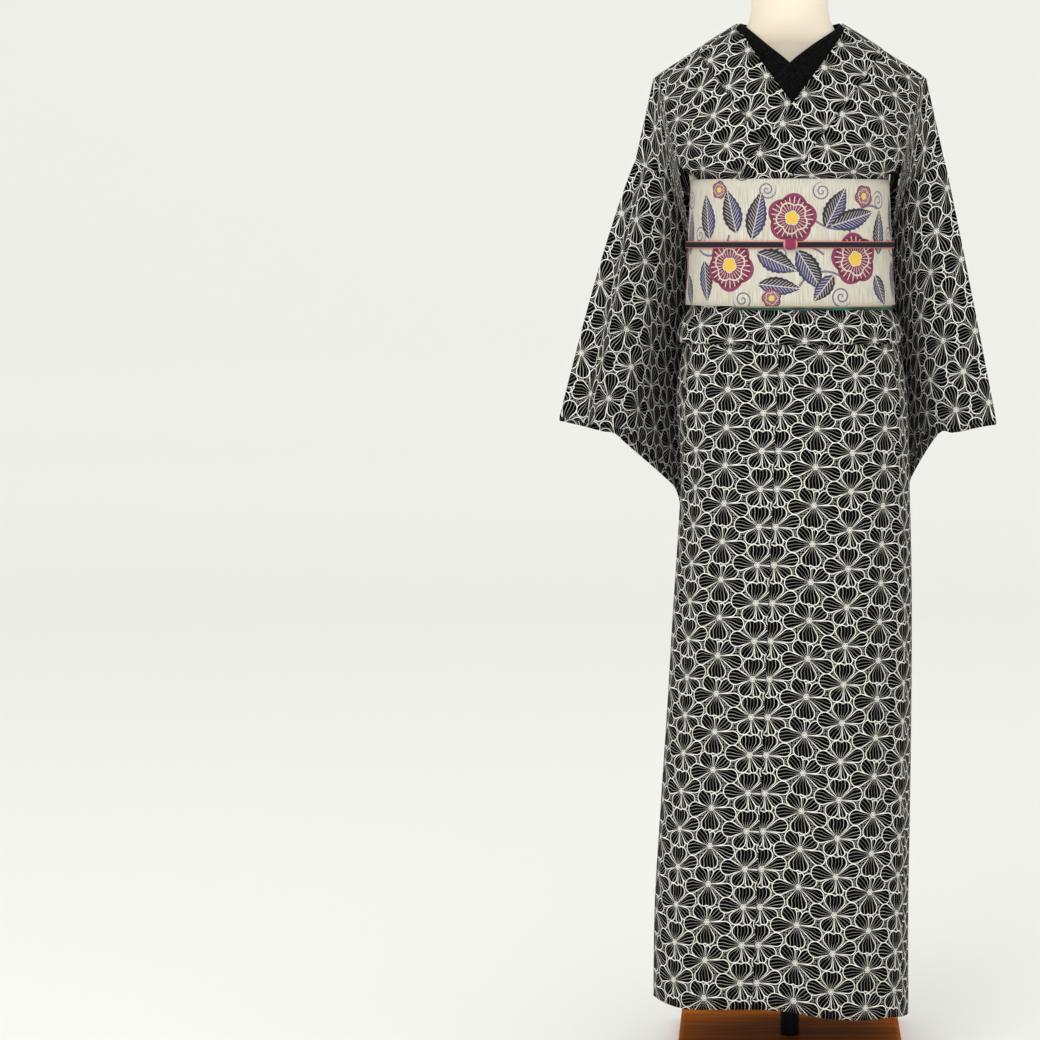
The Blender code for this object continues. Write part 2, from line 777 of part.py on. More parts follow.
def collar():
    left = collar_side(1, 0.0)
    right = collar_side(-1, COLLAR_SUNK)
    grid = list(reversed(right)) + left[1:]
    return wall(surface("collar", grid, "lace", inside=(0.0, 0.0, 1.18)), STIFF_CLOTH)


def inner_side(side, sunk_cross):
    rows = []
    for row in INNER_COLLAR:
        line = []
        for share in ACROSS_BAND:
            across = row.across + (row.low_across - row.across) * share
            height = row.height + (row.low_height - row.height) * share
            if row.depth is None:
                near = ease(row.height, 1.322, 1.340)
                height += INNER_LIFT * near * (1 - share) * (side < 0)
                crossing = ease(-height, -1.33, -1.28)
                sunk = INNER_SUNK_TOP + (sunk_cross - INNER_SUNK_TOP) * crossing
                line.append(on_front(side * across, height, sunk))
            else:
                depth = row.depth + (row.low_depth - row.depth) * share
                line.append(Vector((side * across, depth, height)))
        rows.append(line)
    return rows


def inner_collar():
    left = inner_side(1, INNER_SUNK_LEFT)
    right = inner_side(-1, INNER_SUNK_RIGHT)
    grid = list(reversed(right)) + left[1:]
    return wall(surface("inner_collar", grid, "black_collar", inside=(0.0, 0.0, 1.18)), CLOTH)


def sleeve(name, side, cuff, swell):
    """A flat tube: its outer fold, its front layer, its back layer and its lower seam."""
    grid = []
    for share in SLEEVE_ROWS:
        middle = []
        full = []
        bulge = side * swell * math.sin(math.pi * share**0.75)
        for top, low in zip(ARMHOLE + FREE_EDGE, cuff):
            a = Vector((side * top.across, top.depth, top.height))
            b = Vector((side * low.across, low.depth, low.height))
            middle.append(a.lerp(b, share))
            full.append(top.full + (low.full - top.full) * share)
        for point, fade in zip(middle, SWELL_FADE):
            point.x += bulge * fade
        front, back = layers(middle, full, side)
        drop = Vector((0.0, 0.0, -SLEEVE_BACK_DROP * share))
        grid.append(list(reversed(front)) + [point + drop for point in back])
    return wall(
        surface(name, grid, "lace", wrap=True, inside=(side * 0.2, 0.05, 0.9)), CLOTH
    )


def obi_wrap():
    grid = []
    for row in OBI:
        grid.append([around(row, 360.0 * k / OBI_COLUMNS) for k in range(OBI_COLUMNS)])
    return wall(surface("obi_wrap", grid, "obi_cloth", wrap=True), OBI_THICK)


def obi_underlayer():
    """The first turn of the sash, whose lower edge shows below the second."""
    grid = []
    for height in UNDERLAYER_ROWS:
        section = between(OBI, height)._replace(height=height)
        line = []
        for k in range(UNDERLAYER_COLUMNS + 1):
            angle = UNDERLAYER_START + UNDERLAYER_SPAN * k / UNDERLAYER_COLUMNS
            line.append(around(section, angle, -OBI_THICK - UNDERLAYER_GAP))
        grid.append(line)
    return wall(surface("obi_underlayer", grid, "obi_reverse"), UNDERLAYER_THICK)


def bow(across, depth):
    """How far the knot's sides come forward at a distance from the centre."""
    return KNOT_BOW * (across / KNOT_HALF) ** 2 * ease(depth, 0.125, 0.2)


def bowed(path, name, material, half, thick):
    """A band of the knot: a path seen from the side, drawn out across the back."""
    grid = []
    for fold in path:
        line = []
        for k in range(KNOT_COLUMNS + 1):
            across = half * (2 * k / KNOT_COLUMNS - 1)
            line.append(Vector((across, fold.depth - bow(across, fold.depth), fold.height)))
        grid.append(line)
    return wall(surface(name, grid, material, inside=(0.0, 0.16, 1.03)), thick, 0.0)


def obi_end():
    grid = []
    for height in (END_BOTTOM, END_TOP):
        line = []
        for k in range(KNOT_COLUMNS + 1):
            across = END_HALF * (2 * k / KNOT_COLUMNS - 1)
            line.append(Vector((across, END_DEPTH - bow(across, DRUM[-1].depth), height)))
        grid.append(line)
    return wall(surface("obi_end", grid, "obi_cloth", inside=(0.0, 0.0, 1.05)), END_THICK, 0.0)


def obi_cord():
    grid = []
    for height in (CORD_BOTTOM, CORD_TOP):
        section = between(OBI, height)
        out = SEAM + CORD_THICK
        grid.append([around(section, 360.0 * k / OBI_COLUMNS, out) for k in range(OBI_COLUMNS)])
    return wall(surface("obi_cord", grid, "cord", wrap=True), CORD_THICK)


def cord_knot():
    bpy.ops.mesh.primitive_uv_sphere_add(segments=20, ring_count=12, radius=0.5)
    knot = bpy.context.object
    knot.name = "cord_knot"
    width, deep, tall = CORD_KNOT_SIZE
    front = between(OBI, CORD_KNOT_CENTRE).front + SEAM * 2 + CORD_THICK
    for vertex in knot.data.vertices:
        x, y, z = vertex.co
        flat = y if y < 0 else y * CORD_KNOT_BACK
        vertex.co = (
            power(x * 2, CORD_KNOT_SQUARE) / 2 * width,
            (flat - CORD_KNOT_PROUD) * deep - front,
            power(z * 2, CORD_KNOT_SQUARE) / 2 * tall + CORD_KNOT_CENTRE,
        )
    return finish(knot, "cord_knot", 60)


def build():
    base_board()
    form_pole()
    form_torso()
    skirt()
    waist_fold()
    bodice("bodice_left", 1)
    bodice("bodice_right", -1)
    collar()
    inner_collar()
    sleeve("sleeve_left", 1, CUFF_LEFT, SWELL_LEFT)
    sleeve("sleeve_right", -1, CUFF_RIGHT, SWELL_RIGHT)
    obi_wrap()
    obi_underlayer()
    bowed(DRUM, "obi_drum", "obi_cloth", KNOT_HALF, STIFF_CLOTH)
    bowed(TAIL, "obi_tail", "obi_cloth", TAIL_HALF, STIFF_CLOTH)
    obi_end()
    obi_cord()
    cord_knot()


build()
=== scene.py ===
"""Looks of the lace kimono on its dress form. Metres, +Z up. The garment faces -Y.

The wearer's left is +X. Every piece of cloth is a wall on the form of its solid, made finer,
with its soft creases. Its UV map holds metres of the flat cloth, which the patterns use.
"""

import bisect
import math
from collections import namedtuple

import bmesh
import bpy
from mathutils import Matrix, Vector


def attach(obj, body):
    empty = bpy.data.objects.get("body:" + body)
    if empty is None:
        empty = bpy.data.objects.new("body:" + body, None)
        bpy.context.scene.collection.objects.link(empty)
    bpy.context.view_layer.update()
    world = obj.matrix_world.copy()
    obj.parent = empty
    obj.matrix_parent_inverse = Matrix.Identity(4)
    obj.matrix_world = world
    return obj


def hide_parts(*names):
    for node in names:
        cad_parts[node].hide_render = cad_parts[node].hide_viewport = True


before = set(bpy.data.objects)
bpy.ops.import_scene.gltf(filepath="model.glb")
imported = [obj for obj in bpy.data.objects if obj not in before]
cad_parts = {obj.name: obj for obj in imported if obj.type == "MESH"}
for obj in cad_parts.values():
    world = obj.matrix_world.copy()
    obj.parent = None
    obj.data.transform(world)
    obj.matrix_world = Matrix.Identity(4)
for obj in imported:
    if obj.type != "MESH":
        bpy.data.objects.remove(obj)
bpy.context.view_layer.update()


# Base: a board of orange-brown varnished wood that stands on the floor, with a small chamfer
# round its top. Its grain runs across.
class Wire:
    """An output in a node tree. Arithmetic with it places the maths nodes for the result."""

    def __init__(self, socket):
        self.socket = socket

    def __add__(self, other):
        return calc("ADD", self, other)

    def __sub__(self, other):
        return calc("SUBTRACT", self, other)

    def __rsub__(self, other):
        return calc("SUBTRACT", other, self)

    def __mul__(self, other):
        return calc("MULTIPLY", self, other)

    def __truediv__(self, other):
        return calc("DIVIDE", self, other)

    def __lt__(self, other):
        return calc("LESS_THAN", self, other)

    def __gt__(self, other):
        return calc("GREATER_THAN", self, other)

    def __abs__(self):
        return calc("ABSOLUTE", self)


def fill(socket, value):
    """Link an output to a socket, or set the socket to a plain value."""
    if isinstance(value, Wire):
        socket.id_data.links.new(value.socket, socket)
    elif value is not None:
        socket.default_value = value


def add(kind, *inputs, **settings):
    """Add a shader node beside its first linked input, and fill its inputs in order."""
    tree = next(one.socket.id_data for one in inputs if isinstance(one, Wire))
    new = tree.nodes.new("ShaderNode" + kind)
    for key, value in settings.items():
        setattr(new, key, value)
    for socket, value in zip(new.inputs, inputs):
        fill(socket, value)
    return Wire(new.outputs[0])


def calc(operation, *inputs):
    return add("Math", *inputs, operation=operation)


def vector(operation, *inputs):
    """A vector maths node. It gives a number where the operation does."""
    found = add("VectorMath", *inputs, operation=operation)
    if operation in ("DOT_PRODUCT", "DISTANCE", "LENGTH"):
        return Wire(found.socket.node.outputs["Value"])
    return found


def texture(kind, place, scale, detail=None, distortion=None, **settings):
    found = add("Tex" + kind, place, **settings)
    for label, value in (("Scale", scale), ("Detail", detail), ("Distortion", distortion)):
        if value is not None:
            found.socket.node.inputs[label].default_value = value
    return found


def clamp_range(value, low, high, to_low=0.0, to_high=1.0):
    return add("MapRange", value, low, high, to_low, to_high)


def blend_colour(share, first, second):
    """Mix two colours. Either may be a value or another node's output."""
    mix = share.socket.id_data.nodes.new("ShaderNodeMix")
    mix.data_type = "RGBA"
    sockets = {one.identifier: one for one in mix.inputs}
    fill(sockets["Factor_Float"], share)
    for name, colour in (("A_Color", first), ("B_Color", second)):
        fill(sockets[name], colour if isinstance(colour, Wire) else (*colour, 1.0))
    return Wire(next(one for one in mix.outputs if one.identifier == "Result_Color"))


def surface_finish(name, roughness, metallic=0.0, gloss=0.5, sheen=0.0):
    """A material and its Principled shader."""
    material = bpy.data.materials.new(name)
    material.use_nodes = True
    shader = material.node_tree.nodes["Principled BSDF"]
    shader.inputs["Roughness"].default_value = roughness
    shader.inputs["Metallic"].default_value = metallic
    shader.inputs["Specular IOR Level"].default_value = gloss
    shader.inputs["Sheen Weight"].default_value = sheen
    return material, shader


def object_place(shader):
    return Wire(shader.id_data.nodes.new("ShaderNodeTexCoord").outputs["Object"])


def paint(shader, colour, height, strength, distance):
    """Give the shader its colour and a bump from a height map."""
    fill(shader.inputs["Base Color"], colour)
    bump = shader.id_data.nodes.new("ShaderNodeBump")
    bump.inputs["Strength"].default_value = strength
    bump.inputs["Distance"].default_value = distance
    fill(bump.inputs["Height"], height)
    fill(shader.inputs["Normal"], Wire(bump.outputs["Normal"]))


def dress(thing, material):
    thing.data.materials.clear()
    thing.data.materials.append(material)


WOOD_LIGHT = (0.44, 0.115, 0.005)
WOOD_DARK = (0.22, 0.052, 0.003)
wood, shader = surface_finish("varnished wood", 0.42, gloss=0.002)
grain = texture("Noise", vector("MULTIPLY", object_place(shader), (3.0, 60.0, 60.0)), 1.6, 6.0, 0.8)
colour = blend_colour(clamp_range(grain, 0.35, 0.68), WOOD_DARK, WOOD_LIGHT)
paint(shader, colour, grain, 0.12, 0.0006)
dress(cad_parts["base_board"], wood)

# Pole: a straight metal tube with a brushed finish. It is screwed into the board and
# carries the form. Its near-black tones are painted shade, so that the pole merges with the
# shade under the hem.
SHADED_STEEL_LIGHT = (0.016, 0.016, 0.017)
SHADED_STEEL_DARK = (0.006, 0.006, 0.007)
steel, shader = surface_finish("brushed metal in painted shade", 0.42, metallic=1.0)
streaks = texture("Noise", vector("MULTIPLY", object_place(shader), (900.0, 900.0, 6.0)), 5.0)
colour = blend_colour(clamp_range(streaks, 0.3, 0.7), SHADED_STEEL_DARK, SHADED_STEEL_LIGHT)
paint(shader, colour, streaks, 0.05, 0.0002)
dress(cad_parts["form_pole"], steel)


# Dress form: a limbless shell under a beige knitted cover, closed flat at the neck and
# below. It stands on the pole, and the shoulders carry the kimono.
Body = namedtuple("Body", "height left right front back")
Form = namedtuple("Form", "height half front back square")
FORM = (
    Form(0.6000, 0.1000, 0.0800, 0.0800, 2.4),
    Form(0.6120, 0.1180, 0.0950, 0.0930, 2.4),
    Form(0.6500, 0.1300, 0.1020, 0.1010, 2.4),
    Form(0.7200, 0.1360, 0.1060, 0.1060, 2.4),
    Form(0.8000, 0.1360, 0.1070, 0.1070, 2.4),
    Form(0.8900, 0.1270, 0.1020, 0.1000, 2.4),
    Form(0.9800, 0.1130, 0.0960, 0.0920, 2.4),
    Form(1.0500, 0.1070, 0.0940, 0.0890, 2.4),
    Form(1.1100, 0.1100, 0.0980, 0.0900, 2.4),
    Form(1.1600, 0.1220, 0.1020, 0.0930, 2.4),
    Form(1.2000, 0.1380, 0.0960, 0.0920, 2.4),
    Form(1.2350, 0.1550, 0.0820, 0.0830, 2.4),
    Form(1.2600, 0.1640, 0.0620, 0.0660, 2.4),
    Form(1.2750, 0.1655, 0.0480, 0.0520, 2.4),
    Form(1.2865, 0.1600, 0.0400, 0.0440, 2.4),
    Form(1.2943, 0.1490, 0.0360, 0.0400, 2.4),
    Form(1.3057, 0.1312, 0.0360, 0.0400, 2.4),
    Form(1.3188, 0.1100, 0.0370, 0.0400, 2.4),
    Form(1.3212, 0.0950, 0.0380, 0.0410, 2.3),
    Form(1.3235, 0.0790, 0.0390, 0.0420, 2.2),
    Form(1.3300, 0.0680, 0.0410, 0.0430, 2.1),
    Form(1.3410, 0.0590, 0.0440, 0.0460, 2.0),
    Form(1.3500, 0.0540, 0.0470, 0.0480, 2.0),
    Form(1.3650, 0.0510, 0.0495, 0.0495, 2.0),
    Form(1.3900, 0.0500, 0.0490, 0.0490, 2.0),
    Form(1.4000, 0.0480, 0.0475, 0.0475, 2.0),
    Form(1.4050, 0.0440, 0.0430, 0.0430, 2.0),
)
FORM_SIDES = 96
ROUNDNESS = 2.4
SHOULDER_Y = 0.005


def power(value, exponent):
    return math.copysign(abs(value) ** exponent, value)


def around(row, angle, out=0.0, square=ROUNDNESS):
    """Point of a body section. 0 degrees is the centre back, 90 the wearer's left side."""
    s = math.sin(math.radians(angle))
    c = math.cos(math.radians(angle))
    half = row.left if s > 0 else row.right
    depth = row.back if c > 0 else row.front
    x = power(s, 2 / square) * (half + out)
    y = power(c, 2 / square) * (depth + out)
    return Vector((x, y, row.height))


def put_in_scene(name, mesh):
    thing = bpy.data.objects.new(name, mesh)
    bpy.context.scene.collection.objects.link(thing)
    thing.data.shade_smooth()
    return thing


mesh = bpy.data.meshes.new("dress_form")
shape = bmesh.new()
rings = []
for row in FORM:
    section = Body(row.height, row.half, row.half, row.front, row.back)
    ring = []
    for k in range(FORM_SIDES):
        point = around(section, 360.0 * k / FORM_SIDES, square=row.square)
        ring.append(shape.verts.new(point + Vector((0.0, SHOULDER_Y, 0.0))))
    rings.append(ring)
for lower, upper in zip(rings, rings[1:]):
    for k in range(FORM_SIDES):
        n = (k + 1) % FORM_SIDES
        shape.faces.new((lower[k], lower[n], upper[n], upper[k]))
shape.faces.new(rings[0])
shape.faces.new(rings[-1])
bmesh.ops.recalc_face_normals(shape, faces=shape.faces)
shape.to_mesh(mesh)
shape.free()
dress_form = put_in_scene("dress_form", mesh)
dress_form.data.set_sharp_from_angle(angle=math.radians(50))

FORM_LIGHT = (0.86, 0.76, 0.62)
FORM_DARK = (0.80, 0.68, 0.53)
knit, shader = surface_finish("knitted cover", 0.85, sheen=0.25)
place = object_place(shader)
ribs = texture("Wave", vector("MULTIPLY", place, (1.0, 1.0, 0.35)), 260.0, distortion=1.2)
tone = clamp_range(texture("Noise", place, 9.0), 0.3, 0.7)
paint(shader, blend_colour(tone, FORM_DARK, FORM_LIGHT), ribs, 0.15, 0.0003)
dress(dress_form, knit)
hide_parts("form_torso")
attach(dress_form, "root")


# Kimono, lower part: six strips of lace-patterned cloth, seamed at the sides, at the centre
# back and beside the two overlap panels. The left front laps over the right.
CLOTH = 0.0012
LAYER = 0.0024
WAIST = 0.9898
SKIRT_GUESS = 0.070
BODY = (
    Body(0.050, 0.1550, 0.1800, 0.118, 0.116),
    Body(0.200, 0.1550, 0.1780, 0.118, 0.117),
    Body(0.320, 0.1570, 0.1708, 0.119, 0.118),
    Body(0.450, 0.1585, 0.1620, 0.120, 0.119),
    Body(0.575, 0.1590, 0.1545, 0.121, 0.120),
    Body(0.660, 0.1580, 0.1488, 0.121, 0.120),
    Body(0.740, 0.1560, 0.1446, 0.121, 0.120),
    Body(0.800, 0.1550, 0.1470, 0.121, 0.119),
    Body(0.860, 0.1530, 0.1510, 0.121, 0.118),
    Body(0.900, 0.1480, 0.1470, 0.120, 0.117),
    Body(0.935, 0.1405, 0.1400, 0.118, 0.115),
    Body(0.965, 0.1330, 0.1325, 0.116, 0.113),
    Body(0.990, 0.1280, 0.1275, 0.114, 0.111),
)
Hem = namedtuple("Hem", "across height")
HEM = (
    Hem(-0.182, 0.084),
    Hem(-0.140, 0.080),
    Hem(-0.100, 0.083),
    Hem(-0.040, 0.086),
    Hem(0.000, 0.083),
    Hem(0.042, 0.075),
    Hem(0.090, 0.069),
    Hem(0.130, 0.066),
    Hem(0.160, 0.056),
)
BACK_HEM = 0.064
BACK_HEM_SLANT = -0.05
SEAM_ANGLE = 0.12
SIDE_SEAM = 113.0
INNER_EDGE = 98.0
OUTER_EDGE = 261.0
OUTER_EDGE_AT_HIP = 241.0
LEFT_OVERLAP_AT_WAIST = -0.012
LEFT_OVERLAP_SLANT = -0.040
RIGHT_OVERLAP = 0.034
SKIRT_ROWS = 72
CREASE_ENDS_FADE = 0.55


def hermite(t, a, b, slope_a, slope_b):
    """The smooth curve from a to b, at a share t of the way."""
    return (
        (2 * t**3 - 3 * t**2 + 1) * a
        + (t**3 - 2 * t**2 + t) * slope_a
        + (3 * t**2 - 2 * t**3) * b
        + (t**3 - t**2) * slope_b
    )


def between(table, at):
    """A table's row at a value of its first column, on smooth curves through its rows."""
    keys = [row[0] for row in table]
    at = min(max(at, keys[0]), keys[-1])
    i = min(max(bisect.bisect_right(keys, at) - 1, 0), len(keys) - 2)
    span = keys[i + 1] - keys[i]

    def slope(k, column):
        low = max(k - 1, 0)
        high = min(k + 1, len(keys) - 1)
        return span * (table[high][column] - table[low][column]) / (keys[high] - keys[low])

    values = [at]
    for column in range(1, len(table[0])):
        ends = (table[i][column], table[i + 1][column])
        values.append(hermite((at - keys[i]) / span, *ends, slope(i, column), slope(i + 1, column)))
    return type(table[0])(*values)


def ease(value, low, high):
    """0 below low, 1 above high and a smooth step between."""
    t = min(max((value - low) / (high - low), 0.0), 1.0)
    return t * t * (3 - 2 * t)


def front_angle(row, across):
    """Angle of the point of the front that is this far to the wearer's left."""
    half = row.left if across > 0 else row.right
    s = power(min(abs(across) / half, 1.0), ROUNDNESS / 2)
    return 180.0 - math.degrees(math.asin(math.copysign(s, across)))


# A crease is a soft ridge between two places on a piece, as shares of its width and height.
# Its rise is positive outward.
Crease = namedtuple("Crease", "u1 v1 u2 v2 width rise")


def crease_rise(creases, u, v, wide, tall):
    """How far the creases lift the cloth at a place of a piece of that size."""
    total = 0.0
    for one in creases:
        ax = one.u1 * wide
        ay = one.v1 * tall
        bx = one.u2 * wide
        by = one.v2 * tall
        px = u * wide
        py = v * tall
        long2 = (bx - ax) ** 2 + (by - ay) ** 2
        t = min(max(((px - ax) * (bx - ax) + (py - ay) * (by - ay)) / long2, 0.0), 1.0)
        off2 = (px - ax - t * (bx - ax)) ** 2 + (py - ay - t * (by - ay)) ** 2
        fade = 1.0 - CREASE_ENDS_FADE * abs(2 * t - 1) ** 2
        total += one.rise * fade * math.exp(-off2 / one.width**2)
    return total


def cloth(name, grid, flat, wrap=False, inside=(0.0, 0.0, 1.1), creases=(), size=(0.3, 0.9),
          keep=None, thick=CLOTH, offset=-1.0, even=True):
    """A wall of cloth through rows of points, whose UVs are given in metres."""
    rows = len(grid)
    columns = len(grid[0])
    mesh = bpy.data.meshes.new(name)
    shape = bmesh.new()
    layer = shape.loops.layers.uv.new("cloth")
    points = [[shape.verts.new(point) for point in row] for row in grid]
    for i in range(rows - 1):
        for j in range(columns if wrap else columns - 1):
            if keep and not keep(i, j):
                continue
            k = (j + 1) % columns
            face = shape.faces.new((points[i][j], points[i][k], points[i + 1][k], points[i + 1][j]))
            corners = (flat[i][j], flat[i][j + 1], flat[i + 1][j + 1], flat[i + 1][j])
            for loop, corner in zip(face.loops, corners):
                loop[layer].uv = corner
    for vertex in [one for one in shape.verts if not one.link_faces]:
        shape.verts.remove(vertex)
    shape.normal_update()
    centre = Vector(inside)
    turned = 0.0
    for face in shape.faces:
        away = face.calc_center_median() - centre
        turned += face.normal.dot(away) * face.calc_area()
    if turned < 0:
        bmesh.ops.reverse_faces(shape, faces=shape.faces)
        shape.normal_update()
    if creases:
        moves = []
        for i in range(rows):
            for j in range(columns):
                vertex = points[i][j]
                if vertex.is_valid:
                    u = j / (columns - 1)
                    v = i / (rows - 1)
                    moves.append((vertex, crease_rise(creases, u, v, *size)))
        for vertex, rise in moves:
            vertex.co += vertex.normal * rise
    shape.to_mesh(mesh)
    shape.free()
    thing = put_in_scene(name, mesh)
    solid = thing.modifiers.new("wall", "SOLIDIFY")
    solid.thickness = thick
    solid.offset = offset
    solid.use_even_offset = even
    solid.use_quality_normals = True
    return thing


def measured(grid, start=0, wrap=False):
    """UVs in metres: the way along each row from a column, and the way up that column."""
    flat = []
    up = 0.0
    for i, row in enumerate(grid):
        if i:
            up += (row[start] - grid[i - 1][start]).length
        ways = [0.0]
        closed = list(row) + [row[0]] if wrap else row
        for a, b in zip(closed, closed[1:]):
            ways.append(ways[-1] + (b - a).length)
        flat.append([(way - ways[start], up) for way in ways])
    return flat


def mirrored(flat):
    return [[(-u, v) for u, v in line] for line in flat]


def hem_height(across, angle):
    """Hem in front by the photo's outline, level behind."""
    front = between(HEM, across).height
    behind = ease(-math.cos(math.radians(angle)), -0.2, 0.3)
    back = BACK_HEM + BACK_HEM_SLANT * across
    return back + (front - back) * behind


def overlap_seam(row):
    """Seam between the left front and its overlap panel, nearly straight down the front."""
    drop = (WAIST - row.height) / WAIST
    return front_angle(row, LEFT_OVERLAP_AT_WAIST + LEFT_OVERLAP_SLANT * drop)


def inner_overlap_seam(row):
    return front_angle(row, RIGHT_OVERLAP)


def outer_front_edge(row):
    """The free front edge: near the right side, and a little inside it at the hip."""
    hip = ease(row.height, 0.70, 0.84)
    return OUTER_EDGE + (OUTER_EDGE_AT_HIP - OUTER_EDGE) * hip


def left_back_layer(angle):
    """The left back starts in the lower layer at the centre and comes out at the side."""
    return LAYER * (1 - ease(angle, 15.0, 80.0))


# The lace pattern, in millimetres of the flat cloth: two kinds of flower in turn. A petal's
# row gives its flower, angle, length, end radius, the split of its end, and how far its
# veins lie aside of its middle line.
Petal = namedtuple("Petal", "second angle long radius split aside")
PETALS = (
    Petal(False, -72.0, 24.1, 5.1, 0.0, 0.30),
    Petal(True, 80.0, 19.1, 4.4, 0.0, -0.30),
    Petal(False, -32.0, 26.1, 8.3, 0.0, 0.28),
    Petal(False, 236.0, 25.4, 8.9, 0.0, -0.26),
    Petal(True, 128.0, 27.3, 10.2, 0.0, 0.22),
    Petal(True, 36.0, 27.0, 9.4, 0.0, -0.24),
    Petal(False, 20.0, 33.0, 9.2, 0.0, -0.20),
    Petal(True, -18.5, 35.0, 9.6, 0.0, -0.22),
    Petal(False, 173.0, 33.0, 10.4, 0.0, 0.20),
    Petal(True, 186.0, 34.3, 10.2, 0.0, 0.18),
    Petal(False, 90.0, 26.6, 8.6, 5.2, 0.0),
    Petal(True, 267.0, 29.0, 8.6, 4.6, 0.0),
)
REPEAT = (95.5, 48.4)
SECOND_FLOWER = (47.75, -18.9)
OUTLINE = 1.05
VEIN_SPACE = 4.4
VEIN_WIDTH = 0.14
VEIN_BRIGHT = 0.34
BARE_MIDDLE = 0.40
# The ground is a net of rings, each flower's heart a lobed star with a ring of holes
NET = (REPEAT[0] / 40, REPEAT[1] / 20)
NET_START = (0.6, 0.9, 0.0)
NET_RING = 1.5
NET_HALF_WIDTH = 0.34
NET_BRIGHT = 0.36
STAR_RADIUS = 3.7
STAR_BRIGHT = 0.8
HOLE_RING = 2.2
HOLE_HALF = 0.60
IVORY = (0.96, 0.945, 0.86)
INK = (0.0012, 0.0012, 0.0012)


def new_group(name, vectors, numbers, results):
    """A node group with its inputs as wires, and the sockets that take its results."""
    group = bpy.data.node_groups.new(name, "ShaderNodeTree")
    for labels, way, kind in (
        (vectors, "INPUT", "Vector"), (numbers, "INPUT", "Float"), (results, "OUTPUT", "Float")
    ):
        for label in labels.split():
            group.interface.new_socket(label, in_out=way, socket_type="NodeSocket" + kind)
    given = group.nodes.new("NodeGroupInput").outputs
    result = group.nodes.new("NodeGroupOutput").inputs
    return group, [Wire(one) for one in given if one.name], result


def use_group(group, **values):
    """Place a node group and fill its named inputs. Its outputs come back by name."""
    tree = next(one.socket.id_data for one in values.values() if isinstance(one, Wire))
    new = tree.nodes.new("ShaderNodeGroup")
    new.node_tree = group
    for label, value in values.items():
        fill(new.inputs[label], value)
    return {one.name: Wire(one) for one in new.outputs}


def split(wire, axes="XY"):
    parts = add("SeparateXYZ", wire).socket.node.outputs
    return [Wire(parts[axis]) for axis in axes]


def repeated(place, middle, half):
    """Places of a repeating pattern, measured from the nearest copy of a point."""
    if isinstance(half, Wire):
        least = vector("SCALE", half, None, None, -1.0)
    else:
        least = [-one for one in half]
    return vector("WRAP", vector("SUBTRACT", place, middle), half, least)


def turned(place, angle):
    """The two parts of a flat place after a turn round the origin."""
    return split(add("VectorRotate", place, None, None, angle, rotation_type="Z_AXIS"))


def polar(place):
    """Angle and distance of a flat place."""
    x, y = split(place)
    return calc("ARCTAN2", y, x), vector("LENGTH", place)


def over(under, inside, top):
    """Lay one value over another where a mask is 1."""
    return inside * (top - under) + under


petal_group, given, result = new_group(
    "lace petal",
    "Place Middle Back Half Side Cap Tip",
    "Turn Radius Broad Slope Aside Veins Phase",
    "Inside Thread",
)
place, middle, back, half, side, cap, tip, turn, radius, broad, slope, aside, veins, phase = given
along, across = turned(vector("ADD", repeated(place, middle, half), back), turn)
point = add("CombineXYZ", along, abs(across), 0.0)
past_end = vector("DISTANCE", point, tip) - radius
at_end = vector("DOT_PRODUCT", point, cap) > 1.0
depth = over(vector("DOT_PRODUCT", point, side), at_end, past_end)
# The outline is thinner where the petals meet in the flower's middle
edge = depth + clamp_range(along, 4.0, 14.0, 0.25 * OUTLINE, OUTLINE) > 0.0
half_width = calc("MINIMUM", along * slope, broad)
sway = calc("SINE", along * 0.28 + phase)
share = across / (half_width + 0.3) - aside + sway * 0.06
# Thin veins fan out on both sides of the petal's bare middle line, some of them fainter. All
# are bright beside the flower's heart
count = abs(share) * veins - BARE_MIDDLE
vein = calc("FRACT", count) < VEIN_WIDTH
bright = calc("COSINE", count * math.pi + phase) * 0.20 + VEIN_BRIGHT
bright = calc("MAXIMUM", bright, clamp_range(along, 5.0, 14.0, 1.0, 0.0))
fill(result["Inside"], depth < 0.0)
fill(result["Thread"], calc("MAXIMUM", edge, vein * bright))

lace_group, (place,), result = new_group("lace", "Place", "", "Thread")
half = (REPEAT[0] / 2, REPEAT[1] / 2, 1.0)
reach = vector("LENGTH", repeated(place, NET_START, (*NET, 1.0)))
thread = (abs(reach - NET_RING) < NET_HALF_WIDTH) * NET_BRIGHT
for number, petal in enumerate(PETALS):
    flower = SECOND_FLOWER if petal.second else (0.0, 0.0)
    angle = math.radians(petal.angle)
    back = Vector((math.cos(angle), math.sin(angle), 0.0)) * petal.long / 2
    tip = petal.long - petal.radius
    reach = math.hypot(tip, petal.split)
    tangent = math.atan2(petal.split, tip) + math.asin(petal.radius / reach)
    touch = math.sqrt(reach**2 - petal.radius**2)
    made = use_group(
        petal_group, Place=place, Half=half, Turn=-angle,
        Middle=Vector((*flower, 0.0)) + back, Back=back,
        Side=(-math.sin(tangent), math.cos(tangent), 0.0),
        Cap=(math.cos(tangent) / touch, math.sin(tangent) / touch, 0.0),
        Tip=(tip, petal.split, 0.0), Radius=petal.radius, Broad=petal.radius + petal.split,
        Slope=math.tan(tangent), Aside=petal.aside,
        Veins=(petal.radius + petal.split) / VEIN_SPACE, Phase=0.9 * number,
    )
    thread = over(thread, made["Inside"], made["Thread"])
for flower in ((0.0, 0.0), SECOND_FLOWER):
    angle, reach = polar(repeated(place, (*flower, 0.0), half))
    lobes = calc("COSINE", angle * 6.0)
    hole = (abs(reach - HOLE_RING) < HOLE_HALF) * (lobes > 0.2)
    thread = over(thread, reach < lobes * 0.6 + STAR_RADIUS, hole * -0.7 + STAR_BRIGHT)
fill(result["Thread"], thread)


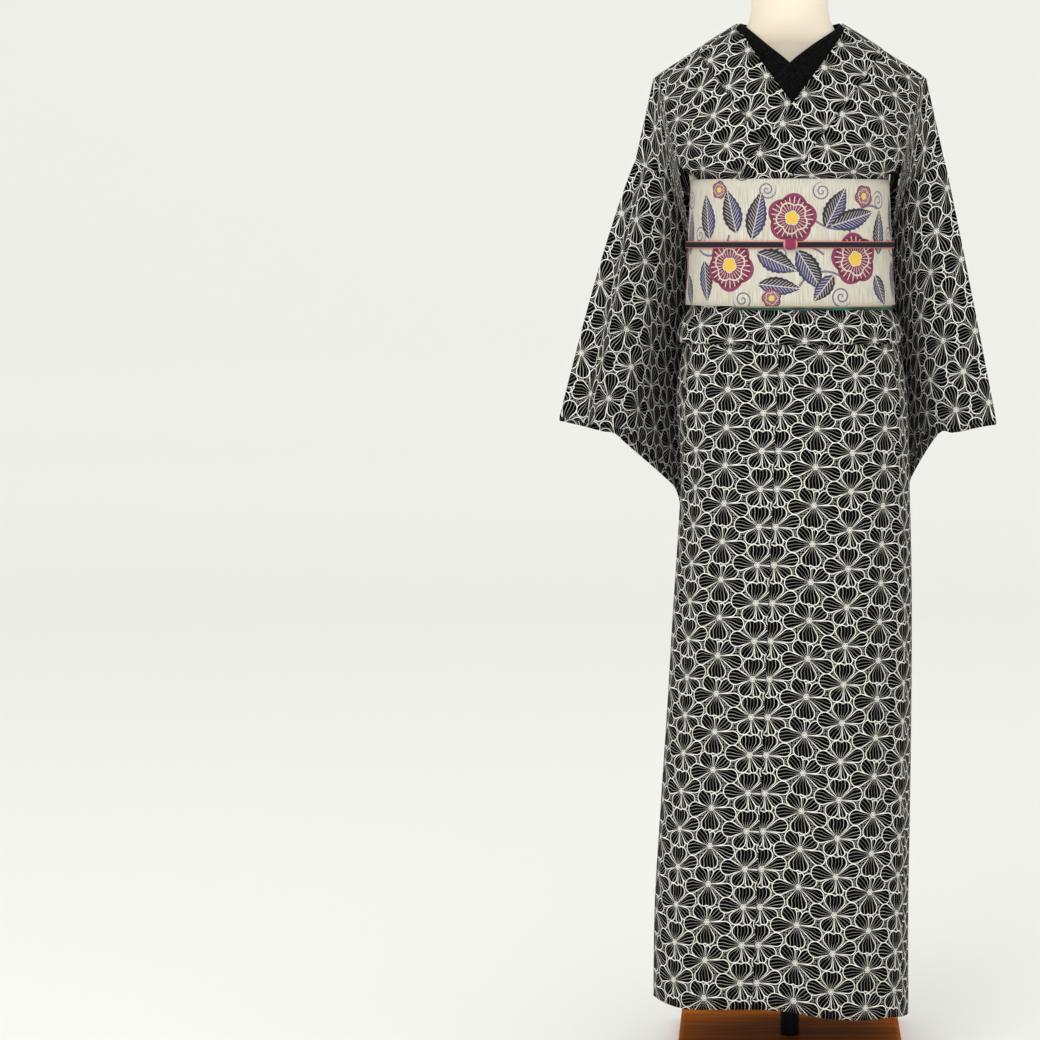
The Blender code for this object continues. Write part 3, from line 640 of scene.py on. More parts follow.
def cloth_place(shader):
    """Place on the flat cloth, in millimetres."""
    spread = shader.id_data.nodes.new("ShaderNodeUVMap")
    spread.uv_map = "cloth"
    return vector("MULTIPLY", Wire(spread.outputs[0]), (1000.0, 1000.0, 1000.0))


lace, shader = surface_finish("lace on black", 0.85, gloss=0.015)
place = cloth_place(shader)
thread = use_group(lace_group, Place=place)["Thread"]
yarn = texture("Noise", place, 1.1, 3.0)
worn = thread * clamp_range(yarn, 0.25, 0.75, 0.78, 1.0)
paint(shader, blend_colour(worn, INK, IVORY), yarn * 0.35 + thread, 0.45, 0.0005)


def laid(grid, flat, spot, turn=0.0, flower=(0.0, 0.0), columns=None):
    """Move and turn the flat cloth so that a flower of the pattern falls on a front spot."""
    x, z = spot
    _, i, j = min(
        ((point.x - x) ** 2 + (point.z - z) ** 2, i, j)
        for i, row in enumerate(grid[:-1])
        for j, point in enumerate(row[: columns or -1])
        if point.y < 0.06
    )
    # Where between the grid's points the spot is
    corner = grid[i][j]
    right = grid[i][j + 1] - corner
    up = grid[i + 1][j] - corner
    area = right.x * up.z - right.z * up.x
    a = ((x - corner.x) * up.z - (z - corner.z) * up.x) / area
    b = (right.x * (z - corner.z) - right.z * (x - corner.x)) / area
    lower, upper = flat[i], flat[i + 1]
    spot_flat = [
        lower[j][k] + a * (lower[j + 1][k] - lower[j][k]) + b * (upper[j][k] - lower[j][k])
        for k in (0, 1)
    ]
    cosine = math.cos(math.radians(turn))
    sine = math.sin(math.radians(turn))
    made = []
    for line in flat:
        moved = []
        for u, v in line:
            du = u - spot_flat[0]
            dv = v - spot_flat[1]
            moved.append(
                (flower[0] + du * cosine + dv * sine, flower[1] - du * sine + dv * cosine)
            )
        made.append(moved)
    return made


def value_at(what, at):
    return what(at) if callable(what) else what


def skirt_panel(name, first, last, columns, inset, cut, spot=None, seam_end=0, creases=()):
    """A panel between two seams, each an angle or a function that gives it on a row."""
    grid = []
    for i in range(SKIRT_ROWS + 1):
        share = i / SKIRT_ROWS
        guess = between(BODY, SKIRT_GUESS + (WAIST - SKIRT_GUESS) * share)
        start_angle = value_at(first, guess) + SEAM_ANGLE
        end_angle = value_at(last, guess) - SEAM_ANGLE
        line = []
        for k in range(columns + 1):
            angle = start_angle + (end_angle - start_angle) * k / columns
            low = hem_height(around(guess, angle).x, angle)
            row = between(BODY, low + (WAIST - low) * share)
            line.append(around(row, angle, -value_at(inset, angle)))
        grid.append(line)
    flat = mirrored(measured(grid, start=seam_end))
    if spot:
        flat = laid(grid, flat, spot)
    piece = cloth(name, grid, flat, inside=(0.0, 0.0, 0.5), creases=creases, size=(cut[0], 0.93))
    dress(piece, lace)
    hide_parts(name)
    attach(piece, "root")


BACK_CREASES = (
    Crease(0.30, 0.95, 0.38, 0.30, 0.030, 0.0035),
    Crease(0.72, 0.92, 0.66, 0.20, 0.026, 0.0030),
)
FRONT_LEFT_CREASES = (
    Crease(0.10, 0.98, 0.16, 0.72, 0.016, 0.0030),
    Crease(0.02, 0.70, 0.05, 0.10, 0.020, 0.0022),
    Crease(0.15, 0.055, 0.98, 0.085, 0.012, 0.0022),
)
OVERLAP_CREASES = (
    Crease(0.88, 0.985, 0.93, 0.74, 0.016, 0.0032),
    Crease(0.55, 0.90, 0.60, 0.52, 0.022, 0.0018),
    Crease(0.02, 0.085, 0.38, 0.050, 0.012, 0.0020),
)
skirt_panel("back_left", 0.0, SIDE_SEAM, 30, left_back_layer, (0.27, 0.95), seam_end=30,
            creases=BACK_CREASES)
skirt_panel("front_left", SIDE_SEAM, overlap_seam, 26, 0.0, (0.23, 0.95),
            spot=(0.0794, 0.7939), seam_end=26, creases=FRONT_LEFT_CREASES)
skirt_panel("okumi_left", overlap_seam, outer_front_edge, 24, 0.0, (0.20, 0.95),
            spot=(-0.0362, 0.7970), creases=OVERLAP_CREASES)
skirt_panel("back_right", 360.0 - SIDE_SEAM, 360.0, 30, LAYER, (0.27, 0.95))
skirt_panel("front_right", inner_overlap_seam, 360.0 - SIDE_SEAM, 24, LAYER, (0.25, 0.95))
skirt_panel("okumi_right", INNER_EDGE, inner_overlap_seam, 20, LAYER, (0.20, 0.95))


# Kimono, upper part: each side is one strip over the shoulder, open in front, with the
# sleeve's drop at its outer edge. There is no shoulder seam.
SHOULDER_START = 1.165
# Behind, the free edge below the armhole turns in and hangs beside the sash
TUCKED_ROW = 1.153
TUCKED_TO = (0.123, 0.090, 1.050)
SEAM = 0.0003
Bust = namedtuple("Bust", "height lift half front back")
BUST = (
    Bust(0.9902, 0.00, 0.1275, 0.1140, 0.111),
    Bust(1.0500, 0.00, 0.1250, 0.1130, 0.108),
    Bust(1.1000, 0.00, 0.1240, 0.1135, 0.107),
    Bust(1.1350, 0.00, 0.1245, 0.1143, 0.108),
    Bust(1.1460, 0.00, 0.1290, 0.1152, 0.110),
    Bust(1.1530, 0.00, 0.1400, 0.1165, 0.112),
    Bust(1.1650, 0.00, 0.1520, 0.1185, 0.114),
    Bust(1.1650, 0.25, 0.1610, 0.1190, 0.115),
    Bust(1.1650, 0.50, 0.1670, 0.1180, 0.114),
    Bust(1.1650, 0.70, 0.1715, 0.1170, 0.112),
    Bust(1.1650, 0.85, 0.1755, 0.1165, 0.111),
    Bust(1.1650, 0.95, 0.1780, 0.1160, 0.110),
    Bust(1.1650, 1.00, 0.1790, 0.1160, 0.110),
)
FRONT_ROUND = 1.7
BACK_ROUND = 1.9
COLUMNS_TO_SIDE = 27
COLUMNS_TO_ARM = 6
SIDE_SHARE = 0.955
BUST_STEPS = 4
HALVINGS = 30
SEAM_ROUNDS = 14
Ridge = namedtuple("Ridge", "across height")
RIDGE = (
    Ridge(0.000, 1.3850),
    Ridge(0.077, 1.3440),
    Ridge(0.130, 1.3100),
    Ridge(0.155, 1.2940),
    Ridge(0.170, 1.2840),
    Ridge(0.179, 1.2770),
)
Edge = namedtuple("Edge", "lift across depth height full")
ARMHOLE = (
    Edge(1.00, 0.2025, -0.004, 1.168, 0.0022),
    Edge(0.95, 0.1880, -0.006, 1.160, 0.0035),
    Edge(0.85, 0.1740, -0.005, 1.152, 0.0045),
    Edge(0.70, 0.1640, 0.001, 1.143, 0.0050),
    Edge(0.50, 0.1570, 0.012, 1.127, 0.0055),
    Edge(0.25, 0.1490, 0.029, 1.096, 0.0060),
    Edge(0.00, 0.1360, 0.066, 1.045, 0.0060),
)
FREE_EDGE = (
    Edge(0.00, 0.1370, 0.098, 0.998, 0.0055),
    Edge(0.00, 0.1510, 0.137, 0.953, 0.0045),
    Edge(0.00, 0.1590, 0.185, 0.902, 0.0040),
    Edge(0.00, 0.1600, 0.235, 0.850, 0.0036),
)
Sewn = namedtuple("Sewn", "height across")
SEWN_LINE = (
    Sewn(0.980, -0.0470),
    Sewn(1.060, -0.0395),
    Sewn(1.115, -0.0205),
    Sewn(1.162, 0.0140),
    Sewn(1.280, 0.0997),
    Sewn(1.316, 0.1215),
)
Neck = namedtuple("Neck", "lift across free_across free_depth free_height")
NECK = (
    Neck(0.50, 0.000, 0.000, 0.0860, 1.3340),
    Neck(0.70, 0.055, 0.034, 0.0770, 1.3400),
    Neck(0.85, 0.088, 0.056, 0.0575, 1.3445),
    Neck(0.95, 0.112, 0.070, 0.0320, 1.3460),
)
BustAt = namedtuple("BustAt", "place height lift half front back")
BUST_AT = [BustAt(place, *row) for place, row in enumerate(BUST)]


def ridge(across):
    return between(RIDGE, abs(across)).height


def bust_height(row, across):
    return row.height + (ridge(across) - row.height) * row.lift


def bust_point(row, across, side):
    """Point of the front (side -1) or the back (side 1) of the upper body."""
    lift = min(max(row.lift, 0.0), 1.0)
    reach = min(abs(across) / row.half, 1.0)
    section = (1 - reach**ROUNDNESS) ** (1 / ROUNDNESS)
    if side < 0:
        depth = row.front * (1 - lift**FRONT_ROUND) ** (1 / FRONT_ROUND)
    else:
        depth = row.back * (1 - lift**BACK_ROUND) ** (1 / BACK_ROUND)
    return Vector((across, SHOULDER_Y * lift + side * section * depth, bust_height(row, across)))


def front_depth(across, height):
    """Depth of the front surface at a place across and a height."""
    low = 0.0
    high = len(BUST_AT) - 1.0
    for _ in range(HALVINGS):
        middle = (low + high) / 2
        if bust_height(between(BUST_AT, middle), across) < height:
            low = middle
        else:
            high = middle
    return bust_point(between(BUST_AT, low), across, -1).y


def on_front(across, height, sunk=0.0):
    """Point sunk below the front surface, at right angles to it."""
    step = 0.002
    depth = front_depth(across, height)
    turn = (front_depth(across + step, height) - front_depth(across - step, height)) / (2 * step)
    slope = (depth - front_depth(across, height - step)) / step
    out = Vector((turn, -1.0, slope)).normalized()
    return Vector((across, depth, height)) - out * sunk


def sewn_at(row):
    """Where the collar's seam crosses a row of the front, worked out along the row."""
    across = 0.1
    for _ in range(SEAM_ROUNDS):
        across = between(SEWN_LINE, bust_height(row, across)).across
    return across


def layers(middle, full, side):
    """Front and back layer of a sleeve on either side of its middle line."""
    front = []
    back = []
    for k, point in enumerate(middle):
        along = middle[min(k + 1, len(middle) - 1)] - middle[max(k - 1, 0)]
        out = Vector((along.y, -along.x, 0.0)).normalized() * side * full[k]
        front.append(point - out)
        back.append(point + out)
    return front, back


def armhole_layers(side):
    rail = ARMHOLE + FREE_EDGE
    middle = [Vector((side * edge.across, edge.depth, edge.height)) for edge in rail]
    return layers(middle, [edge.full for edge in rail], side)


def curved(points, steps):
    """Points on a smooth curve through the given ones, with that many steps in each span."""
    made = []
    last = len(points) - 1
    for i in range(last):
        a = points[i]
        b = points[i + 1]
        slope_a = (b - points[max(i - 1, 0)]) / 2
        slope_b = (points[min(i + 2, last)] - a) / 2
        made += [hermite(k / steps, a, b, slope_a, slope_b) for k in range(steps)]
    made.append(points[last].copy())
    return made


def fine_grid(grid, steps):
    """The same grid with more rows, each column on a smooth curve."""
    columns = [curved([row[j] for row in grid], steps) for j in range(len(grid[0]))]
    return [list(row) for row in zip(*columns)]


def inner_start(row, facing):
    """Where a row of the bodice starts: at the collar's seam, or at the centre back."""
    if facing < 0 or row.lift == 1.0:
        return sewn_at(row) + 2 * SEAM
    behind = {neck.lift: neck.across for neck in NECK}
    return max(behind.get(row.lift, 0.0) + 2 * SEAM * (row.lift > 0.5), SEAM / 2)


def bodice(name, side, spot, turn, creases):
    """Front and back in one length over the shoulder, with the drop to the armhole."""
    front, back = armhole_layers(side)
    grid = []
    wide = []
    for facing, rows in ((-1, list(BUST)), (1, list(reversed(BUST[:-1])))):
        for row in rows:
            start_at = inner_start(row, facing)
            end_at = row.half * SIDE_SHARE if row.lift < 1 else row.half
            line = []
            for k in range(COLUMNS_TO_SIDE + 1):
                across = start_at + (end_at - start_at) * k / COLUMNS_TO_SIDE
                point = bust_point(row, side * across, facing)
                if facing < 0 and side < 0:
                    crossing = ease(-across, -0.15, -0.11) * (1 - ease(row.lift, 0.6, 1.0))
                    point.y += (LAYER + SEAM * 2) * crossing
                line.append(point)
            has_arm = row.height >= SHOULDER_START
            tucked = facing > 0 and row.height == TUCKED_ROW
            top = line[COLUMNS_TO_SIDE]
            if tucked:
                goal = Vector((side * TUCKED_TO[0], TUCKED_TO[1], TUCKED_TO[2]))
            elif has_arm:
                place = [edge.lift for edge in ARMHOLE].index(row.lift)
                goal = (front if facing < 0 else back)[place]
                if row.lift == 1.0:
                    goal = (front[0] + back[0]) / 2
                goal = goal + (top - goal).normalized() * SEAM * 4
            else:
                goal = top + Vector((0.0, 0.0, -0.03))
            for k in range(1, COLUMNS_TO_ARM + 1):
                line.append(top.lerp(goal, k / COLUMNS_TO_ARM))
            grid.append(line)
            wide.append(has_arm or tucked)
    grid = fine_grid(grid, BUST_STEPS)

    def keep(i, j):
        place = i // BUST_STEPS
        return j < COLUMNS_TO_SIDE or (wide[place] and wide[place + 1])

    flat = []
    ups = measured(grid, start=COLUMNS_TO_SIDE // 2)
    for row, line in zip(grid, ups):
        flat.append([(side * (abs(row[0].x) + u - line[0][0]), v) for u, v in line])
    flat = laid(grid, flat, spot, turn)
    piece = cloth(name, grid, flat, inside=(0.0, 0.0, 1.12), keep=keep, creases=creases,
                  size=(0.25, 0.75), even=False)
    dress(piece, lace)
    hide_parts(name)
    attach(piece, "root")


LEFT_CREASES = (
    Crease(0.70, 0.25, 0.86, 0.42, 0.012, 0.0030),
    Crease(0.50, 0.24, 0.72, 0.33, 0.010, 0.0020),
)
RIGHT_CREASES = (
    Crease(0.72, 0.25, 0.88, 0.43, 0.013, 0.0028),
    Crease(0.45, 0.24, 0.70, 0.32, 0.010, 0.0018),
)
bodice("bodice_left", 1, (0.0664, 1.2258), -24.0, LEFT_CREASES)
bodice("bodice_right", -1, (-0.0983, 1.2248), 22.0, RIGHT_CREASES)


# Collar: one stiff folded band from front end to front end, round the neck. It is sewn to
# the body's slanting edge and crosses left over right.
STIFF_CLOTH = 0.0020
COLLAR_WIDTH = 0.055
# The lower side of the collar is folded a little wider
COLLAR_EXTRA = 0.005
COLLAR_PROUD = 0.0008
COLLAR_SUNK = 0.0042
BAND_STEPS = 8
COLLAR_STEPS = 5


def collar_side(side, sunk_cross):
    """Rows of one side of the collar, from the centre back down to its end."""
    rows = []
    for neck in NECK:
        body_row = next(row for row in BUST if row.lift == neck.lift)
        sewn = bust_point(body_row, side * neck.across, 1) + Vector((0.0, 0.0, 2 * SEAM))
        free = Vector((side * neck.free_across, neck.free_depth, neck.free_height))
        rows.append([free.lerp(sewn, k / BAND_STEPS) for k in range(BAND_STEPS + 1)])
    for body_row in reversed(BUST):
        across = sewn_at(body_row)
        height = bust_height(body_row, across)
        step = 0.004
        rise = between(SEWN_LINE, height + step).across - between(SEWN_LINE, height - step).across
        tilt = math.atan2(max(rise, 0.0), 2 * step)
        crossing = ease(-height, -1.31, -1.24)
        width = COLLAR_WIDTH + COLLAR_EXTRA * (side < 0) * (1 - ease(body_row.lift, 0.85, 1.0))
        line = []
        for k in range(BAND_STEPS + 1):
            up = width * (1 - k / BAND_STEPS)
            place = across - up * math.cos(tilt)
            at = height + up * math.sin(tilt)
            sunk = sunk_cross * crossing - COLLAR_PROUD * (1 - crossing * (side < 0))
            if body_row.lift == 1.0:
                line.append(Vector((side * place, SHOULDER_Y, ridge(place) + COLLAR_PROUD)))
            else:
                line.append(on_front(side * place, at, sunk))
        rows.append(line)
    return rows


grid = list(reversed(collar_side(-1, COLLAR_SUNK))) + collar_side(1, 0.0)[1:]
grid = fine_grid(grid, COLLAR_STEPS)
flower = (SECOND_FLOWER[0] / 1000, SECOND_FLOWER[1] / 1000)
flat = laid(grid, mirrored(measured(grid)), (-0.0306, 1.276), flower=flower)
collar = cloth("collar", grid, flat, inside=(0.0, 0.0, 1.18), thick=STIFF_CLOTH)
dress(collar, lace)
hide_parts("collar")
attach(collar, "root")


# Inner collar: a black patterned band with a fine scalloped edge that shows in the neck,
# tucked under the kimono's collar.
Band = namedtuple("Band", "across depth height low_across low_depth low_height")
INNER_COLLAR = (
    Band(0.0000, 0.0740, 1.3420, 0.0000, 0.0830, 1.3120),
    Band(0.0280, 0.0675, 1.3455, 0.0360, 0.0760, 1.3160),
    Band(0.0480, 0.0500, 1.3485, 0.0640, 0.0550, 1.3240),
    Band(0.0615, 0.0280, 1.3500, 0.0820, 0.0300, 1.3300),
    Band(0.0650, 0.0050, 1.3490, 0.0870, 0.0050, 1.3310),
    Band(0.0590, None, 1.3420, 0.0800, None, 1.3240),
    Band(0.0300, None, 1.3205, 0.0600, None, 1.2960),
    Band(0.0000, None, 1.2970, 0.0370, None, 1.2620),
    Band(-0.0260, None, 1.2680, 0.0110, None, 1.2300),
)
FIGURE_DARK = (0.0015, 0.0015, 0.0018)
FIGURE_LIGHT = (0.010, 0.010, 0.011)
INNER_SUNK_TOP = 0.0050
INNER_LIFT = 0.005
INNER_SUNK_LEFT = 0.0074
INNER_SUNK_RIGHT = 0.0104


def inner_side(side, sunk_cross):
    rows = []
    for row in INNER_COLLAR:
        line = []
        for k in range(BAND_STEPS + 1):
            share = k / BAND_STEPS
            across = row.across + (row.low_across - row.across) * share
            height = row.height + (row.low_height - row.height) * share
            if row.depth is None:
                near = ease(row.height, 1.322, 1.340)
                height += INNER_LIFT * near * (1 - share) * (side < 0)
                crossing = ease(-height, -1.33, -1.28)
                sunk = INNER_SUNK_TOP + (sunk_cross - INNER_SUNK_TOP) * crossing
                line.append(on_front(side * across, height, sunk))
            else:
                depth = row.depth + (row.low_depth - row.depth) * share
                line.append(Vector((side * across, depth, height)))
        rows.append(line)
    return rows


grid = list(reversed(inner_side(-1, INNER_SUNK_RIGHT))) + inner_side(1, INNER_SUNK_LEFT)[1:]
grid = fine_grid(grid, COLLAR_STEPS)
inner_collar = cloth("inner_collar", grid, measured(grid), inside=(0.0, 0.0, 1.18))
black_cloth, shader = surface_finish("black figured cloth", 0.7, gloss=0.03)
place = cloth_place(shader)
cells = texture("Voronoi", place, 0.28, feature="DISTANCE_TO_EDGE")
figure = clamp_range(cells, 0.05, 0.22)
way_in, way_along = split(place)
edging = way_in < calc("COSINE", way_along * 2.1) * 0.5 + 1.3
tone = calc("MAXIMUM", figure * 0.55, edging)
colour = blend_colour(tone, FIGURE_DARK, FIGURE_LIGHT)
paint(shader, colour, figure, 0.6, 0.0006)
dress(inner_collar, black_cloth)
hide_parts("inner_collar")
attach(inner_collar, "root")


# Sleeves: each is a flat tube of one strip, folded along its outer edge and seamed below,
# open at the cuff and on the body's side, where it is sewn to the armhole at the top.
Cuff = namedtuple("Cuff", "across depth height full")
CUFF_RIGHT = (
    Cuff(0.3010, -0.012, 0.835, 0.0022),
    Cuff(0.2800, -0.010, 0.830, 0.0075),
    Cuff(0.2580, -0.007, 0.824, 0.0115),
    Cuff(0.2420, -0.004, 0.820, 0.0135),
    Cuff(0.2230, 0.002, 0.817, 0.0130),
    Cuff(0.2060, 0.020, 0.801, 0.0095),
    Cuff(0.1650, 0.080, 0.756, 0.0045),
    Cuff(0.1480, 0.120, 0.731, 0.0036),
    Cuff(0.1410, 0.174, 0.678, 0.0036),
    Cuff(0.1400, 0.229, 0.622, 0.0036),
    Cuff(0.1380, 0.286, 0.566, 0.0036),
)
CUFF_LEFT = (
    Cuff(0.2695, -0.012, 0.830, 0.0022),
    Cuff(0.2520, -0.010, 0.827, 0.0070),
    Cuff(0.2350, -0.007, 0.823, 0.0105),
    Cuff(0.2210, -0.004, 0.820, 0.0125),
    Cuff(0.2060, 0.003, 0.818, 0.0120),
    Cuff(0.1885, 0.018, 0.816, 0.0085),
    Cuff(0.1630, 0.078, 0.763, 0.0045),
    Cuff(0.1560, 0.118, 0.732, 0.0036),
    Cuff(0.1540, 0.171, 0.676, 0.0036),
    Cuff(0.1500, 0.225, 0.618, 0.0036),
    Cuff(0.1460, 0.282, 0.560, 0.0036),
)
SLEEVE_BACK_DROP = 0.006
SLEEVE_ROWS = 44
SLEEVE_STEPS = 4
# How far the outer fold of each sleeve swells sideways, and how that fades along a row
SWELL_LEFT = 0.001
SWELL_RIGHT = 0.006
SWELL_FADE = (1.0, 0.7, 0.35, 0.1)


def sleeve(name, side, cuff, swell, spot, tuck, creases):
    """A flat tube: its outer fold, its front layer, its back layer and its lower seam."""
    grid = []
    for i in range(SLEEVE_ROWS + 1):
        share = i / SLEEVE_ROWS
        middle = []
        full = []
        for top, low in zip(ARMHOLE + FREE_EDGE, cuff):
            a = Vector((side * top.across, top.depth, top.height))
            b = Vector((side * low.across, low.depth, low.height))
            middle.append(a.lerp(b, share))
            full.append(top.full + (low.full - top.full) * share)
        bulge = side * swell * math.sin(math.pi * share**0.75)
        for point, fade in zip(middle, SWELL_FADE):
            point.x += bulge * fade
        front, back = layers(middle, full, side)
        drop = Vector((0.0, 0.0, -SLEEVE_BACK_DROP * share))
        front = curved(list(reversed(front)), SLEEVE_STEPS)
        back = curved([point + drop for point in back], SLEEVE_STEPS)
        grid.append(front + back)
    # On the flat strip U runs along the fold, from the shoulder to the cuff
    fold = len(grid[0]) // 2 - 1
    flat = []
    for i, line in enumerate(measured(grid, start=fold, wrap=True)):
        # A soft pleat down the front layer takes up some of the cloth
        pleat = tuck[0] + (tuck[1] - tuck[0]) * i / SLEEVE_ROWS
        moved = []
        for u, v in line:
            taken = tuck[2] * ease(-u, pleat - tuck[3], pleat + tuck[3])
            moved.append((v, side * (u - taken)))
        flat.append(moved)
    flat = laid(grid, flat, spot, columns=fold)
    piece = cloth(name, grid, flat, wrap=True, inside=(side * 0.2, 0.05, 0.9), creases=creases,
                  size=(0.95, 0.35))
    dress(piece, lace)
    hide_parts(name)
    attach(piece, "root")


RIGHT_SLEEVE_CREASES = (
    Crease(0.395, 0.10, 0.425, 1.00, 0.011, 0.0040),
    Crease(0.345, 0.15, 0.360, 1.00, 0.012, -0.0030),
    Crease(0.445, 0.20, 0.455, 0.95, 0.009, -0.0016),
    Crease(0.610, 0.10, 0.590, 1.00, 0.014, 0.0036),
)
LEFT_SLEEVE_CREASES = (
    Crease(0.385, 0.15, 0.405, 1.00, 0.012, 0.0034),
    Crease(0.345, 0.20, 0.355, 0.98, 0.012, -0.0024),
    Crease(0.600, 0.10, 0.600, 1.00, 0.014, 0.0034),
)
sleeve("sleeve_left", 1, CUFF_LEFT, SWELL_LEFT, (0.209, 0.985), (0.010, 0.014, 0.004, 0.006),
       LEFT_SLEEVE_CREASES)
sleeve("sleeve_right", -1, CUFF_RIGHT, SWELL_RIGHT, (-0.186, 0.9853), (0.016, 0.040, 0.028, 0.007),
       RIGHT_SLEEVE_CREASES)


# Waist tuck: the body's spare length, folded over a hidden tie and hanging below the sash
# as a soft band all round.
Tuck = namedtuple("Tuck", "height out")
TUCK = (
    Tuck(0.9885, 0.0012),
    Tuck(0.9800, 0.0013),
    Tuck(0.9720, 0.0016),
    Tuck(0.9645, 0.0060),
    Tuck(0.9510, 0.0092),
    Tuck(0.9390, 0.0080),
    Tuck(0.9325, 0.0048),
    Tuck(0.9375, 0.0020),
    Tuck(0.9540, 0.0020),
)
TUCK_COLUMNS = 132
TUCK_STEPS = 4
TUCK_ROUND = 0.88

grid = []
for row in TUCK:
    section = between(BODY, row.height)
    turn = 360.0 / TUCK_COLUMNS
    grid.append([around(section, turn * k, row.out) for k in range(TUCK_COLUMNS)])
grid = fine_grid(grid, TUCK_STEPS)
# Every row holds the same length of cloth, so the longer rows' share is evened out
flat = []
for line in measured(grid, start=TUCK_COLUMNS // 2, wrap=True):
    share = TUCK_ROUND / (line[-1][0] - line[0][0])
    flat.append([(-u * share, -v) for u, v in line])
flat = laid(grid, flat, (-0.0292, 0.9558))
waist_fold = cloth("waist_fold", grid, flat, wrap=True, inside=(0.0, 0.0, 0.95), offset=0.0)
dress(waist_fold, lace)
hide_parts("waist_fold")
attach(waist_fold, "root")


# Sash: a stiff folded band wound twice round the body, with a square drum knot behind. Its
# cloth has a slub ground with a coloured print of blooms and leaves.
OBI = (
    Body(0.9810, 0.1376, 0.1368, 0.1228, 0.1190),
    Body(1.0100, 0.1360, 0.1350, 0.1222, 0.1180),
    Body(1.0600, 0.1335, 0.1335, 0.1217, 0.1170),
    Body(1.1100, 0.1315, 0.1315, 0.1212, 0.1160),
    Body(1.1430, 0.1300, 0.1300, 0.1208, 0.1155),
)
OBI_THICK = 0.0025
OBI_COLUMNS = 160
OBI_ROWS = 16
UNDERLAYER_THICK = 0.0008
UNDERLAYER_GAP = 0.0004
UNDERLAYER_HEIGHTS = (0.9755, 0.980, 0.985, 0.998, 1.010)
UNDERLAYER_COLUMNS = 60
UNDERLAYER_START = 100.0
UNDERLAYER_SWEEP = 108.0
Fold = namedtuple("Fold", "depth height")
DRUM = (
    Fold(0.1172, 1.110),
    Fold(0.1210, 1.155),
    Fold(0.1380, 1.180),
    Fold(0.1650, 1.186),
    Fold(0.1900, 1.174),
    Fold(0.2060, 1.135),
    Fold(0.2130, 1.060),
    Fold(0.2120, 0.975),
    Fold(0.2040, 0.915),
    Fold(0.1880, 0.888),
    Fold(0.1690, 0.886),
    Fold(0.1550, 0.905),
    Fold(0.1500, 0.970),
    Fold(0.1480, 1.070),
)
TAIL = (
    Fold(0.1190, 1.046),
    Fold(0.1210, 0.990),
    Fold(0.1290, 0.955),
    Fold(0.1330, 0.900),
    Fold(0.1350, 0.805),
)
KNOT_HALF = 0.135
TAIL_HALF = 0.131
KNOT_BOW = 0.010
KNOT_COLUMNS = 32
KNOT_STEPS = 5
END_ROWS = 8
END_HALF = 0.158
END_BOTTOM = 1.012
END_TOP = 1.088
END_DEPTH = 0.1450
END_THICK = 0.003


# The sash's print, in millimetres of the flat cloth. Each leaf is given by its foot, its
# angle, its length and its half width, each bloom and curl by its centre and its size, and
# each stem by the arc that it follows.
Leaf = namedtuple("Leaf", "across up angle long broad")
Bloom = namedtuple("Bloom", "across up radius turn")
Stem = namedtuple("Stem", "across up radius start sweep")
Curl = namedtuple("Curl", "across up size turn hand")
LEAVES = (
    Leaf(-112.0, 84.0, 98.0, 60.0, 13.0),
    Leaf(-70.0, 92.0, 104.0, 58.0, 13.5),
    Leaf(-50.0, 84.0, 78.0, 64.0, 13.0),
    Leaf(-44.0, 68.0, -24.0, 58.0, 14.0),
    Leaf(-42.0, 28.0, -6.0, 56.0, 11.5),
    Leaf(8.0, 72.0, -58.0, 62.0, 14.0),
    Leaf(44.0, 98.0, 62.0, 60.0, 13.5),
    Leaf(52.0, 102.0, 16.0, 66.0, 13.0),
    Leaf(126.0, 64.0, 86.0, 60.0, 12.0),
    Leaf(-122.0, 58.0, -82.0, 54.0, 12.0),
    Leaf(118.0, 40.0, -62.0, 46.0, 11.0),
    Leaf(56.0, 40.0, 232.0, 44.0, 10.5),
)
BLOOMS = (
    Bloom(-80.0, 52.0, 34.0, 0.3),
    Bloom(2.0, 112.0, 32.0, 1.1),
    Bloom(86.0, 60.0, 34.0, 2.0),
    Bloom(-24.0, 10.0, 13.0, 0.7),
    Bloom(100.0, 140.0, 15.0, 1.7),
    Bloom(-96.0, 148.0, 12.0, 2.4),
)
STEMS = (
    Stem(-46.0, 36.0, 44.0, 60.0, 110.0),
    Stem(8.0, 24.0, 54.0, 50.0, 80.0),
    Stem(62.0, 146.0, 48.0, 190.0, 110.0),
    Stem(110.0, 96.0, 32.0, 60.0, 130.0),
    Stem(-112.0, 96.0, 32.0, 230.0, 120.0),
    Stem(44.0, 6.0, 38.0, 40.0, 110.0),
)
CURLS = (
    Curl(-30.0, 148.0, 12.0, 0.0, 1.0),
    Curl(40.0, 146.0, 12.0, 2.0, -1.0),
    Curl(-62.0, 8.0, 13.0, 3.6, -1.0),
    Curl(66.0, 12.0, 14.0, 1.0, 1.0),
    Curl(128.0, 134.0, 13.0, 4.0, 1.0),
    Curl(-132.0, 90.0, 13.0, 5.2, -1.0),
    Curl(-12.0, 66.0, 10.0, 1.5, 1.0),
)
PRINT_HALF = (145.0, 82.0, 1.0)
LEAF_DARK = (0.008, 0.006, 0.020)
LEAF_BLUE = (0.028, 0.030, 0.115)
PRINT_PALE = (0.60, 0.54, 0.44)
BLOOM_RED = (0.110, 0.006, 0.020)
BLOOM_PINK = (0.220, 0.016, 0.085)
BLOOM_HEART = (0.720, 0.460, 0.060)
STEM_GREY = (0.150, 0.140, 0.200)
GROUND_DARK = (0.40, 0.365, 0.28)
GROUND_LIGHT = (0.70, 0.66, 0.57)
TEAL_DARK = (0.002, 0.010, 0.010)
TEAL_LIGHT = (0.010, 0.115, 0.090)
